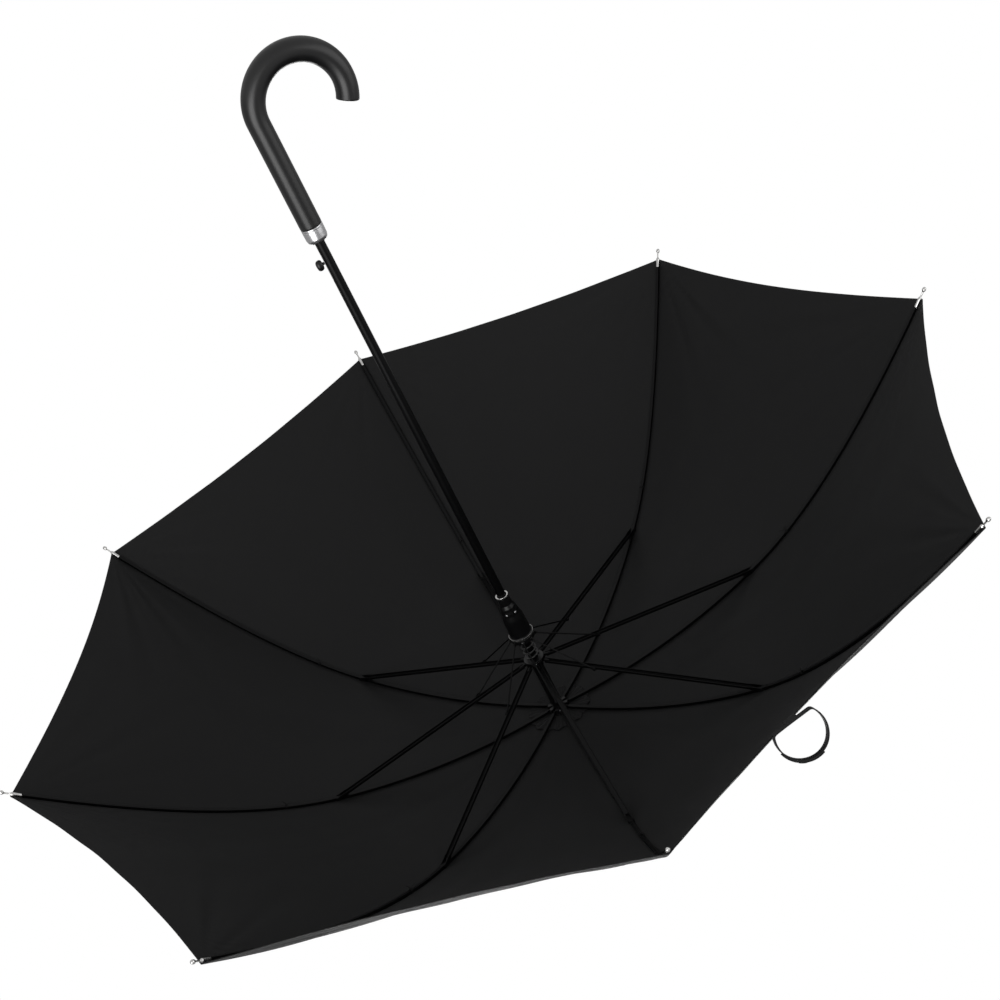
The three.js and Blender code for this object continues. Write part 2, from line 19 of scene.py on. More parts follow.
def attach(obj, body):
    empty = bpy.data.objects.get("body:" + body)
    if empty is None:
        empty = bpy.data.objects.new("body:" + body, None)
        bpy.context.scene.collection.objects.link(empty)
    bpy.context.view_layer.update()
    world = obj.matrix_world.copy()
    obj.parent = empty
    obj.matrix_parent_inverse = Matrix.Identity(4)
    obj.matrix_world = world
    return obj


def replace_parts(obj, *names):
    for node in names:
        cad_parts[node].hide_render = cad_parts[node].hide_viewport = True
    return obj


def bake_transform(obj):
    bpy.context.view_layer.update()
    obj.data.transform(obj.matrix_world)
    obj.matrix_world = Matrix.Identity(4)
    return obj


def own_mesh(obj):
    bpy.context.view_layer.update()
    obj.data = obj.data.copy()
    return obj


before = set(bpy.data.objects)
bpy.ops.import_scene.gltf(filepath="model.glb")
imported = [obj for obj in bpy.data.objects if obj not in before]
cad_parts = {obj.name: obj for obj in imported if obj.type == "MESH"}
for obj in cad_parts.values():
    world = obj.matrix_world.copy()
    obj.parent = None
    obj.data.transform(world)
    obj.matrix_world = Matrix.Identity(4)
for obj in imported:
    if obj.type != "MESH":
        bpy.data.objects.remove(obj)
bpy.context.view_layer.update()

Array = np.ndarray
log = logging.getLogger("umbrella")

MM = 0.001
ARMS = 8
FIRST_AZIMUTH = -36.0


class Slot(Enum):
    """The record's material slots."""

    CLOTH = "canopy_cloth"
    WEBBING = "strap_webbing"
    HANDLE = "handle_plastic"
    COLLAR = "collar_metal"
    BLACK_STEEL = "black_steel"
    BRIGHT_STEEL = "bright_steel"
    SPRING = "spring_steel"
    PLASTIC = "black_plastic"
    NICKEL = "nickel"


class Half(Enum):
    """The two sides of a rib."""

    LEFT = 1.0
    RIGHT = -1.0


class Stretch(Enum):
    """The two parts of a rib, and of the cloth over it."""

    INNER = "inner"
    OUTER = "outer"


# ---- points and curves ----------------------------------------------------------------------------


def smoothstep(x: Array) -> Array:
    """0 below 0, 1 above 1, and 3x^2 - 2x^3 between."""
    t = np.clip(x, 0.0, 1.0)
    return t * t * (3.0 - 2.0 * t)


def azimuth_of(arm: int) -> float:
    """The direction of an arm about the shaft, in radians; arms count from 0."""
    return math.radians(FIRST_AZIMUTH + arm * 360.0 / ARMS)


def turned_about_shaft(points: Array, azimuth: float) -> Array:
    """Points of an arm's own frame (out, aside, up), turned to their place about the shaft.

    Args:
        points: coordinates, the last axis being x, y, z.
        azimuth: the turn about Z, in radians.

    Returns:
        The same points in the frame's coordinates.
    """
    c, s = math.cos(azimuth), math.sin(azimuth)
    x, y = points[..., 0], points[..., 1]
    return np.stack([x * c - y * s, x * s + y * c, points[..., 2]], axis=-1)


def rounded(corners: list[tuple[float, float]], radius: float, closed: bool = True) -> Array:
    """An outline whose corners are eased by a short parabola between points a radius before and after.

    Args:
        corners: the outline's corners, in millimetres.
        radius: how far from each corner the easing starts; at most 45% of the shorter edge.
        closed: True for an outline that returns to its start; otherwise its two ends stay sharp.

    Returns:
        The eased outline in metres, (n, 2).
    """
    p = np.array(corners, float)
    before, after = np.roll(p, 1, axis=0), np.roll(p, -1, axis=0)
    a, b = before - p, after - p
    la = np.linalg.norm(a, axis=1, keepdims=True)
    lb = np.linalg.norm(b, axis=1, keepdims=True)
    reach = np.minimum(radius, 0.45 * np.minimum(la, lb))
    if not closed:
        reach[0] = reach[-1] = 0.0
    t = np.linspace(0.0, 1.0, 6)[None, :, None]
    start, end = (p + a / la * reach)[:, None], (p + b / lb * reach)[:, None]
    eased = start * (1 - t) ** 2 + p[:, None] * 2 * t * (1 - t) + end * t**2
    if not closed:
        return np.vstack([p[:1], eased[1:-1].reshape(-1, 2), p[-1:]]) * MM
    return eased.reshape(-1, 2) * MM


def lathe(profile: Array, segments: int, start: float = 0.0, sweep: float = 2 * math.pi) -> Array:
    """A profile of (radius, height) carried round Z: x = r cos a, y = r sin a, z = height.

    Args:
        profile: the profile in metres, (n, 2).
        segments: the steps of the turn.
        start: the first angle, in radians.
        sweep: the whole turn; a full one leaves out its last column, which would repeat the first.

    Returns:
        A grid (n, columns, 3).
    """
    full = abs(sweep - 2 * math.pi) < 1e-9
    angle = start + sweep * np.arange(segments + (0 if full else 1)) / segments
    r, z = profile[:, :1], profile[:, 1:]
    return np.stack([r * np.cos(angle), r * np.sin(angle), z + 0 * angle], axis=-1)


def carried(path: Array, section: Array, side: Array, scale: Array | None = None) -> Array:
    """A section carried along a path: point + section x times the side + section y times side x tangent.

    Args:
        path: the centre line, (n, 3).
        section: the section's outline (m, 2), x along the side and y along the normal.
        side: the direction of the section's x, one for all points or (n, 3).
        scale: the section's size at each point of the path.

    Returns:
        A grid (n, m, 3), closed round its columns.
    """
    tangent = np.gradient(path, axis=0)
    tangent /= np.linalg.norm(tangent, axis=1, keepdims=True)
    across = np.broadcast_to(side, path.shape)
    normal = np.cross(across, tangent)
    normal /= np.linalg.norm(normal, axis=1, keepdims=True)
    size = np.ones(len(path)) if scale is None else scale
    sx = section[None, :, 0, None] * size[:, None, None]
    sy = section[None, :, 1, None] * size[:, None, None]
    return path[:, None] + sx * across[:, None] + sy * normal[:, None]


def circle(radius: float, count: int) -> Array:
    """A round outline: radius times (cos a, sin a)."""
    a = 2 * math.pi * np.arange(count) / count
    return radius * np.stack([np.cos(a), np.sin(a)], axis=-1)


def channel(width: float, height: float, wall: float, up: bool) -> Array:
    """A folded channel's outline with eased corners, open towards +y where up is True, in metres."""
    w, h, s = width / 2, height / 2, 1.0 if up else -1.0
    corners = [(-w, -h), (w, -h), (w, h), (w - wall, h), (w - wall, -h + wall), (-w + wall, -h + wall),
               (-w + wall, h), (-w, h)]
    return rounded([(x, y * s) for x, y in corners], 0.45)


def eye_outline(reach: float, radius: float, count: int = 16) -> Array:
    """A bar's outline along +x, with a round end at the origin: a half circle and two sides."""
    a = math.pi / 2 + math.pi * np.arange(count + 1) / count
    round_end = radius * np.stack([np.cos(a), np.sin(a)], axis=-1)
    return np.vstack([round_end, [[reach, -radius], [reach, radius]]])


@dataclass
class Form:
    """A closed shape gathered from grids and flat caps, then made one mesh."""

    points: list[Array] = field(default_factory=list)
    faces: list[list[int]] = field(default_factory=list)
    size: int = 0

    def grid(self, grid: Array, wrap_rows: bool = False, wrap_columns: bool = True) -> "Form":
        """Adds a grid of quads: each cell joins (i, j), (i, j+1), (i+1, j+1) and (i+1, j).

        Args:
            grid: the points, (rows, columns, 3).
            wrap_rows: joins the last row to the first.
            wrap_columns: joins the last column to the first.

        Returns:
            The form itself.
        """
        rows, columns = grid.shape[:2]
        index = self.size + np.arange(rows * columns).reshape(rows, columns)
        if wrap_rows:
            index = np.vstack([index, index[:1]])
        if wrap_columns:
            index = np.hstack([index, index[:, :1]])
        quads = np.stack([index[:-1, :-1], index[:-1, 1:], index[1:, 1:], index[1:, :-1]], axis=-1)
        self.faces += quads.reshape(-1, 4).tolist()
        return self._keep(grid.reshape(-1, 3))

    def cap(self, loop: Array) -> "Form":
        """Adds one flat face over a loop of points (n, 3)."""
        self.faces.append(list(range(self.size, self.size + len(loop))))
        return self._keep(loop)

    def rod(self, grid: Array) -> "Form":
        """Adds a carried section with a flat cap on each end."""
        return self.grid(grid).cap(grid[0]).cap(grid[-1])

    def slab(self, outline: Array, low: float, high: float, place: "Plane") -> "Form":
        """Adds a flat plate: an outline (n, 2) in a plane, from low to high along the plane's normal."""
        return self.rod(np.stack([place.at(outline, low), place.at(outline, high)]))

    def _keep(self, points: Array) -> "Form":
        """Stores points and counts them."""
        self.points.append(points)
        self.size += len(points)
        return self

    def piece(self, name: str, slot: Slot, paint: "Finish", sharp: float = 38.0) -> bpy.types.Object:
        """Makes the mesh: equal points are joined, faces turned outwards, and edges past an angle kept sharp.

        Args:
            name: the piece's name.
            slot: the record's slot that its finish belongs to.
            paint: the finish.
            sharp: the angle from which an edge shades sharp, in degrees.

        Returns:
            The new object, at the origin.
        """
        mesh = bpy.data.meshes.new(name)
        mesh.from_pydata(np.vstack(self.points).tolist(), [], self.faces)
        work = bmesh.new()
        work.from_mesh(mesh)
        bmesh.ops.remove_doubles(work, verts=work.verts, dist=2e-6)
        bmesh.ops.dissolve_degenerate(work, edges=work.edges, dist=1e-7)
        bmesh.ops.recalc_face_normals(work, faces=work.faces)
        work.to_mesh(mesh)
        work.free()
        mesh.shade_smooth()
        mesh.set_sharp_from_angle(angle=math.radians(sharp))
        return added(name, mesh, slot, paint)


@dataclass(frozen=True)
class Plane:
    """A plane in space with its own x and y directions; its normal is x cross y."""

    origin: Array
    x: Array
    y: Array

    def at(self, outline: Array, height: float) -> Array:
        """The points of a flat outline (n, 2), at a height above the plane."""
        normal = np.cross(self.x, self.y)
        return self.origin + outline[:, :1] * self.x + outline[:, 1:] * self.y + height * normal


def added(name: str, mesh: bpy.types.Mesh, slot: Slot, paint: "Finish") -> bpy.types.Object:
    """Puts a mesh in the scene as a piece with its finish, and reports it.

    Args:
        name: the piece's name.
        mesh: its mesh.
        slot: the record's slot.
        paint: the finish.

    Returns:
        The piece.
    """
    thing = bpy.data.objects.new(name, mesh)
    bpy.context.scene.collection.objects.link(thing)
    mesh.materials.append(paint.material())
    log.info("%s: %d points, %s", name, len(mesh.vertices), slot.value)
    return thing


# ---- shaders --------------------------------------------------------------------------------------


@dataclass(frozen=True)
class Value:
    """A number socket that takes part in Python expressions; each operation adds a Math node."""

    board: "Board"
    socket: bpy.types.NodeSocket

    def _with(self, operation: str, first: object, second: object) -> "Value":
        """A Math node on two values or numbers."""
        return self.board.node("ShaderNodeMath", {"operation": operation}, {0: first, 1: second}).value()

    def __add__(self, other: object) -> "Value":
        """Self + other."""
        return self._with("ADD", self, other)

    def __radd__(self, other: object) -> "Value":
        """Other + self."""
        return self._with("ADD", other, self)

    def __mul__(self, other: object) -> "Value":
        """Self times other."""
        return self._with("MULTIPLY", self, other)

    def __rmul__(self, other: object) -> "Value":
        """Other times self."""
        return self._with("MULTIPLY", other, self)

    def __sub__(self, other: object) -> "Value":
        """Self - other."""
        return self._with("SUBTRACT", self, other)

    def __rsub__(self, other: object) -> "Value":
        """Other - self."""
        return self._with("SUBTRACT", other, self)


@dataclass(frozen=True)
class Made:
    """A node that was just added."""

    board: "Board"
    made: bpy.types.Node

    def value(self, output: int | str = 0) -> Value:
        """One of its outputs, for an expression."""
        return Value(self.board, self.made.outputs[output])

    def out(self, output: int | str = 0) -> bpy.types.NodeSocket:
        """One of its outputs, for a link."""
        return self.made.outputs[output]


class Board:
    """One material's nodes round its Principled shader."""

    def __init__(self, name: str) -> None:
        """Starts a material with a cleared tree, a shader and an output.

        Args:
            name: the material's name.
        """
        self.material = bpy.data.materials.new(name)
        self.material.use_nodes = True
        self.tree = self.material.node_tree
        self.tree.nodes.clear()
        output = self.tree.nodes.new("ShaderNodeOutputMaterial")
        self.shader = self.tree.nodes.new("ShaderNodeBsdfPrincipled")
        self.tree.links.new(self.shader.outputs[0], output.inputs["Surface"])

    def node(self, kind: str, settings: dict[str, object], inputs: dict[int | str, object]) -> Made:
        """Adds a node.

        Args:
            kind: the node's type.
            settings: its settings, set first.
            inputs: the values or links of its sockets.

        Returns:
            The node, ready to be read.
        """
        made = self.tree.nodes.new(kind)
        for key, setting in settings.items():
            setattr(made, key, setting)
        for key, given in inputs.items():
            self.feed(made.inputs[key], given)
        return Made(self, made)

    def feed(self, socket: bpy.types.NodeSocket, given: object) -> None:
        """Links a socket to a value, or sets it to a number or colour.

        Args:
            socket: the input socket.
            given: a value, a socket, a number or a colour.
        """
        if isinstance(given, Value):
            self.tree.links.new(given.socket, socket)
        elif isinstance(given, bpy.types.NodeSocket):
            self.tree.links.new(given, socket)
        else:
            socket.default_value = given

    def noise(self, scale: float, detail: float = 3.0, source: str = "Object",
              stretch: tuple[float, float, float] = (1.0, 1.0, 1.0)) -> Value:
        """Noise from 0 to 1 on the piece's own coordinates, with a scale for each axis."""
        place = self.node("ShaderNodeTexCoord", {}, {}).out(source)
        scaled = self.node("ShaderNodeMapping", {}, {"Vector": place, "Scale": stretch}).out()
        inputs = {"Vector": scaled, "Scale": scale, "Detail": detail}
        return self.node("ShaderNodeTexNoise", {}, inputs).value()

    def threads(self, period: float, axis: str) -> Value:
        """Round threads side by side across the cut's own X or Y, a period apart in metres."""
        place = self.node("ShaderNodeTexCoord", {}, {}).out("UV")
        settings = {"wave_type": "BANDS", "bands_direction": axis, "wave_profile": "SIN"}
        scale = math.pi / (10.0 * period)
        return self.node("ShaderNodeTexWave", settings, {"Vector": place, "Scale": scale}).value("Fac")

    def bump(self, height: Value, distance: float, strength: float) -> None:
        """Raises the surface by a height from 0 to 1 times a distance in metres."""
        inputs = {"Height": height, "Distance": distance, "Strength": strength}
        self.feed(self.shader.inputs["Normal"], self.node("ShaderNodeBump", {}, inputs).out())

    def tone(self, low: tuple[float, float, float], high: tuple[float, float, float], share: Value) -> None:
        """The base colour runs from low to high with a share.

        Args:
            low: the colour where the share is 0.
            high: the colour where it is 1.
            share: the value that mixes them.
        """
        inputs = {"Factor": share, "A": (*low, 1.0), "B": (*high, 1.0)}
        mixed = self.node("ShaderNodeMix", {"data_type": "RGBA"}, {})
        sockets = {s.identifier: s for s in mixed.made.inputs}
        self.feed(sockets["Factor_Float"], inputs["Factor"])
        self.feed(sockets["A_Color"], inputs["A"])
        self.feed(sockets["B_Color"], inputs["B"])
        result = next(s for s in mixed.made.outputs if s.identifier == "Result_Color")
        self.feed(self.shader.inputs["Base Color"], result)


@dataclass(frozen=True)
class Finish:
    """A surface finish; its material is made once and shared."""

    name: str
    dark: tuple[float, float, float]
    light: tuple[float, float, float]
    rough: float
    rough_spread: float = 0.06
    metal: float = 0.0
    grain: float = 400.0
    grain_depth: float = 0.00002
    coat: float = 0.0
    sheen: float = 0.0
    gloss: float = 0.5
    stretch: tuple[float, float, float] = (1.0, 1.0, 1.0)

    def material(self) -> bpy.types.Material:
        """The finish's material, made on first use."""
        found = bpy.data.materials.get(self.name)
        return found if found else self._made()

    def _made(self) -> bpy.types.Material:
        """Dresses a new board: tone and roughness follow a broad noise, and a fine one raises the grain."""
        board = Board(self.name)
        broad = board.noise(self.grain / 8.0, 2.0, stretch=self.stretch)
        fine = board.noise(self.grain, 4.0, stretch=self.stretch)
        board.tone(self.dark, self.light, broad)
        board.feed(board.shader.inputs["Roughness"], self.rough + (fine - 0.5) * (2.0 * self.rough_spread))
        board.bump(fine, self.grain_depth, 0.6)
        board.shader.inputs["Metallic"].default_value = self.metal
        board.shader.inputs["Specular IOR Level"].default_value = self.gloss
        board.shader.inputs["Coat Weight"].default_value = self.coat
        board.shader.inputs["Coat Roughness"].default_value = 0.25
        board.shader.inputs["Sheen Weight"].default_value = self.sheen
        board.shader.inputs["Sheen Roughness"].default_value = 0.5
        return board.material


@dataclass(frozen=True)
class Woven(Finish):
    """Plain-woven cloth: threads along and across the cut, over a soft mottle."""

    thread: float = 0.0006
    thread_depth: float = 0.00006

    def _made(self) -> bpy.types.Material:
        """Dresses a new board: warp and weft are two rows of round threads that cross."""
        board = Board(self.name)
        warp, weft = board.threads(self.thread, "X"), board.threads(self.thread, "Y")
        mottle = board.noise(self.grain, 3.0, stretch=self.stretch)
        weave = warp * weft
        board.tone(self.dark, self.light, mottle * 0.7 + weave * 0.3)
        board.feed(board.shader.inputs["Roughness"], self.rough + (mottle - 0.5) * (2.0 * self.rough_spread))
        board.bump(weave, self.thread_depth, 0.5)
        board.shader.inputs["Metallic"].default_value = 0.0
        board.shader.inputs["Specular IOR Level"].default_value = self.gloss
        board.shader.inputs["Sheen Weight"].default_value = self.sheen
        board.shader.inputs["Sheen Roughness"].default_value = 0.4
        return board.material


CLOTH = Woven("black_polyester", (0.0050, 0.0050, 0.0052), (0.0068, 0.0068, 0.0070), 0.62, sheen=0.02,
              gloss=0.16, grain=14.0)
WEBBING = Woven("black_webbing", (0.0030, 0.0030, 0.0032), (0.0070, 0.0070, 0.0073), 0.75, sheen=0.03,
                gloss=0.2, grain=90.0, thread=0.0012, thread_depth=0.0002)
GRIP = Finish("soft_black_grip", (0.0030, 0.0030, 0.0032), (0.0042, 0.0042, 0.0045), 0.36, gloss=0.42,
              grain=900.0, grain_depth=0.00003)
ENAMEL = Finish("black_enamel", (0.0015, 0.0015, 0.0016), (0.0022, 0.0022, 0.0024), 0.34, gloss=0.11,
                grain=300.0)
PLASTIC = Finish("black_moulding", (0.0020, 0.0020, 0.0022), (0.0030, 0.0030, 0.0032), 0.33, gloss=0.3,
                 grain=500.0)
BRUSHED = Finish("brushed_collar", (0.50, 0.50, 0.51), (0.60, 0.60, 0.61), 0.30, 0.08, 1.0, 260.0, 0.00002,
                 stretch=(1.0, 1.0, 14.0))
NICKEL = Finish("bright_nickel", (0.52, 0.52, 0.51), (0.62, 0.61, 0.60), 0.22, 0.05, 1.0, 500.0, 0.00001)
WIRE = Finish("bare_wire", (0.42, 0.42, 0.43), (0.52, 0.52, 0.53), 0.28, 0.06, 1.0, 700.0, 0.00001)
OILED = Finish("oiled_spring", (0.05, 0.05, 0.05), (0.09, 0.09, 0.09), 0.3, 0.08, 0.8, 500.0, 0.00001)


# ---- the arm's own line ---------------------------------------------------------------------------


@dataclass
class RibLine:
    """A rib's centre line in the plane of its arm: two cubic curves that meet at the stretcher's pivot."""

    hinge_radius: float = 8.5
    hinge_height: float = 745.7
    joint_radius: float = 246.0
    joint_drop: float = 33.5
    tip_radius: float = 515.0
    tip_drop: float = 233.6
    joint_slope: float = 19.3
    tip_slope: float = 45.3
    handles: tuple[float, float] = (96.0, 116.0)

    def __post_init__(self) -> None:
        """Samples both curves finely and measures the way along them."""
        hinge = np.array([self.hinge_radius, self.hinge_height])
        joint = np.array([self.joint_radius, self.hinge_height - self.joint_drop])
        tip = np.array([self.tip_radius, self.hinge_height - self.tip_drop])
        chord = float(np.hypot(*(joint - hinge)))
        self.chord_slope = math.degrees(math.atan2(self.joint_drop, self.joint_radius - self.hinge_radius))
        crown_slope = 2 * self.chord_slope - self.joint_slope
        inner = self._cubic(hinge, crown_slope, chord / 3, joint, self.joint_slope, chord / 3)
        outer = self._cubic(joint, self.joint_slope, self.handles[0], tip, self.tip_slope, self.handles[1])
        line = np.vstack([inner, outer[1:]]) * MM
        step = np.linalg.norm(np.diff(line, axis=0), axis=1)
        self.way = np.concatenate([[0.0], np.cumsum(step)])
        self.line = line
        self.slope = np.gradient(line, self.way, axis=0)
        self.inner = float(self.way[len(inner) - 1])
        self.whole = float(self.way[-1])
        self.chord = chord * MM
        self.joint = joint * MM
        self.tip = tip * MM
        self.hinge = hinge * MM

    @staticmethod
    def _cubic(start: Array, start_slope: float, start_handle: float, end: Array, end_slope: float,
               end_handle: float) -> Array:
        """A cubic curve from start to end that leaves and arrives at given slopes.

        Args:
            start: the first point.
            start_slope: the slope there, in degrees below level.
            start_handle: the length of the handle there.
            end: the last point.
            end_slope: the slope there, likewise.
            end_handle: the length of the handle there.

        Returns:
            600 points, (600, 2).
        """
        t = np.linspace(0.0, 1.0, 600)[:, None]
        a, b = math.radians(start_slope), math.radians(end_slope)
        p1 = start + start_handle * np.array([math.cos(a), -math.sin(a)])
        p2 = end - end_handle * np.array([math.cos(b), -math.sin(b)])
        return start * (1 - t) ** 3 + p1 * 3 * t * (1 - t) ** 2 + p2 * 3 * t**2 * (1 - t) + end * t**3

    def over(self, way: Array, lift: Array | float) -> tuple[Array, Array]:
        """(radius, height) of points at ways along the rib, raised from its line by a lift."""
        x, z = np.interp(way, self.way, self.line[:, 0]), np.interp(way, self.way, self.line[:, 1])
        tx, tz = np.interp(way, self.way, self.slope[:, 0]), np.interp(way, self.way, self.slope[:, 1])
        return x - tz * lift, z + tx * lift

    def path(self, start: float, end: float, count: int) -> Array:
        """Points of the rib's line in its arm's plane, (count, 3)."""
        x, z = self.over(np.linspace(start, end, count), 0.0)
        return np.stack([x, 0 * x, z], axis=-1)


# ---- handle end -----------------------------------------------------------------------------------


@dataclass
class HandleEnd:
    """The crook handle, its collar, the shaft and the release catch, in millimetres."""

    crook_radius: float = 42.3
    sweep: float = 209.0
    grip: float = 10.2
    swell: float = 0.9
    bend_height: float = 53.4
    collar_height: float = 154.0
    collar_length: float = 15.0
    shaft_radius: float = 4.6
    shaft_bore: float = 3.8
    shaft_end: float = 790.0
    slot: tuple[float, float, float] = (180.0, 210.0, 3.0)
    knob_height: float = 190.0

    def build(self) -> None:
        """Makes every piece of the handle end."""
        self.crook()
        self.collar()
        self.shaft()
        self.catch()

    def crook(self) -> None:
        """A round section carried along an arc and a straight, a little fatter round the bend.

        Both ends are eased by a quarter circle, and then closed by a flat disc.
        """
        turn = math.radians(self.sweep)
        arc, straight = turn * self.crook_radius, self.collar_height - 0.3 - self.bend_height
        whole = arc + straight
        ease = 1.6 * (1 - np.cos(np.linspace(0, math.pi / 2, 9)))
        shrink = 1.6 * (1 - np.sin(np.linspace(0, math.pi / 2, 9)))
        way = np.concatenate([ease, np.linspace(1.6, whole - 1.0, 190)[1:-1], whole - ease[::-1] * 0.6])
        cut = np.concatenate([shrink, np.zeros(188), shrink[::-1] * 0.6])
        angle = np.clip(turn - way / self.crook_radius, 0.0, turn)
        rise = np.maximum(way - arc, 0.0)
        x = self.crook_radius * (1 - np.cos(angle))
        z = self.bend_height - self.crook_radius * np.sin(angle) + rise
        out = np.maximum(np.sin(angle), 0.0)
        radius = self.grip + self.swell * out - cut
        centre = np.stack([x, 0 * x, z], axis=-1)
        along = np.stack([-np.sin(angle), 0 * x, np.cos(angle)], axis=-1)
        normal = np.cross([0.0, 1.0, 0.0], along)
        a = 2 * math.pi * np.arange(72) / 72
        ring = np.cos(a)[None, :, None] * np.array([0.0, 1.0, 0.0])
        ring = ring + np.sin(a)[None, :, None] * normal[:, None]
        grid = centre[:, None] + radius[:, None, None] * ring
        first, last = centre[:1, None] + 0 * grid[:1], centre[-1:, None] + 0 * grid[-1:]
        grid = np.concatenate([first, grid, last]) * MM
        piece = Form().grid(grid).piece("crook_grip", Slot.HANDLE, GRIP)
        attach(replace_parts(piece, "handle"), "root")

    def collar(self) -> None:
        """A turned sleeve with an eased shoulder and a shallow groove near its grip end."""
        low, high = self.collar_height, self.collar_height + self.collar_length
        r, bore = self.grip, self.shaft_radius + 0.3
        profile = rounded([(bore, low), (r, low), (r, low + 1.6), (r - 0.3, low + 1.9), (r - 0.3, low + 2.3),
                           (r, low + 2.6), (r - 0.2, high - 4), (r - 1, high - 1.2), (r - 2.4, high),
                           (bore, high)], 0.5)
        piece = Form().grid(lathe(profile, 96), wrap_rows=True).piece("grip_collar", Slot.COLLAR, BRUSHED)
        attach(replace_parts(piece, "handle_collar"), "root")

    def shaft(self) -> None:
        """A tube with a slot on its -X side: two walls of grids, joined round the slot and at both ends."""
        low, high, width = self.slot
        half = math.asin(width / 2 / self.shaft_radius)
        round_it = math.pi + np.linspace(half, 2 * math.pi - half, 61)
        window = math.pi + np.linspace(-half, half, 7)
        start = self.collar_height - 44.7
        heights = [np.linspace(start, low, 5), np.linspace(low, high, 5)]
        heights.append(np.linspace(high, self.shaft_end, 30))
        form = Form()

        def wall(radius: Array | float, angles: Array, z: Array) -> Array:
            """A grid of a round wall, in metres."""
            x, y = radius * np.cos(angles), radius * np.sin(angles)
            return np.stack(np.broadcast_arrays(x, y, z), axis=-1) * MM

        for radius in (self.shaft_radius, self.shaft_bore):
            for z in heights:
                form.grid(wall(radius, round_it[None], z[:, None]), wrap_columns=False)
            for z in (heights[0], heights[2]):
                form.grid(wall(radius, window[None], z[:, None]), wrap_columns=False)
        radii = np.array([self.shaft_bore, self.shaft_radius])[:, None]
        for z in (start, self.shaft_end):
            form.grid(wall(radii, round_it[None], z), wrap_columns=False)
        for z in (start, low, high, self.shaft_end):
            form.grid(wall(radii, window[None], z), wrap_columns=False)
        for angle in (round_it[0], round_it[-1]):
            form.grid(wall(radii, angle, heights[1][None]), wrap_columns=False)
        piece = form.piece("shaft_tube", Slot.BLACK_STEEL, ENAMEL)
        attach(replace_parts(piece, "shaft"), "root")

    def catch(self) -> None:
        """The bright lever in the slot, and the round knob on it, turned about X and drawn out along Z."""
        low, high, width = self.slot
        middle, face = (low + high) / 2, -self.shaft_radius + 0.6
        half = np.array([(width - 1) / 2, (high - low - 3) / 2])
        corners = [(-half[0], -half[1]), (half[0], -half[1]), (half[0], half[1]), (-half[0], half[1])]
        outline = rounded(corners, 0.9)
        plane = Plane(np.array([face - 0.5, 0.0, middle]) * MM, np.array([0, 1.0, 0]), np.array([0, 0, 1.0]))
        lever = Form().slab(outline, 0.0, 1.0 * MM, plane).piece("catch_strip", Slot.BRIGHT_STEEL, WIRE)
        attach(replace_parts(lever, "catch_lever"), "release")
        start = self.shaft_radius + 0.2
        profile = rounded([(0, start), (1.1, start), (1.1, 6.5), (3.2, 6.8), (4.0, 8.2), (4.0, 10.6),
                           (3.0, 12.3), (0, 12.8)], 1.1, closed=False)
        turn = lathe(profile, 48)
        height = turn[..., 0] * 1.3 + self.knob_height * MM
        grid = np.stack([-turn[..., 2], turn[..., 1] * 0.85, height], axis=-1)
        knob = Form().grid(grid).piece("catch_knob", Slot.PLASTIC, PLASTIC)
        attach(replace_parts(knob, "release_knob"), "release")


# ---- crown, hub, runner and spring ----------------------------------------------------------------


@dataclass
class Wheel:
    """A notched wheel: a core, a flange and a tooth between every two arms, in millimetres."""

    height: float
    low: float
    high: float
    flange: tuple[float, float]
    radius: float = 11.0
    core: float = 6.2
    bore: float = 4.9
    notch: float = 2.4
    aside: float = 0.0

    def into(self, form: Form) -> Form:
        """Adds the wheel: rounded rings for core and flange, and a swept sector for each tooth.

        Args:
            form: the form to add it to.

        Returns:
            The same form.
        """
        z = self.height
        core = rounded([(self.bore, z + self.low), (self.core, z + self.low), (self.core, z + self.high),
                        (self.bore, z + self.high)], 0.25)
        form.grid(lathe(core, 64), wrap_rows=True)
        a, b = sorted(self.flange)
        plate = rounded([(self.bore, z + a), (self.radius, z + a), (self.radius, z + b),
                         (self.bore, z + b)], 0.5)
        form.grid(lathe(plate, 96), wrap_rows=True)
        return self.teeth(form)

    def teeth(self, form: Form) -> Form:
        """Adds the teeth: a rounded profile carried from one notch to the next.

        Args:
            form: the form to add them to.

        Returns:
            The same form.
        """
        z, inner = self.height, self.core - 0.4
        profile = rounded([(inner, z + self.low), (self.radius, z + self.low), (self.radius, z + self.high),
                           (inner, z + self.high)], 0.4)
        shift = math.asin(self.aside / self.radius)
        gap = math.asin(self.notch / 2 / self.core)
        for arm in range(ARMS):
            start = azimuth_of(arm) + shift + gap
            grid = lathe(profile, 10, start, 2 * math.pi / ARMS - 2 * gap)
            form.grid(grid, wrap_rows=True, wrap_columns=False).cap(grid[:, 0]).cap(grid[:, -1])
        return form


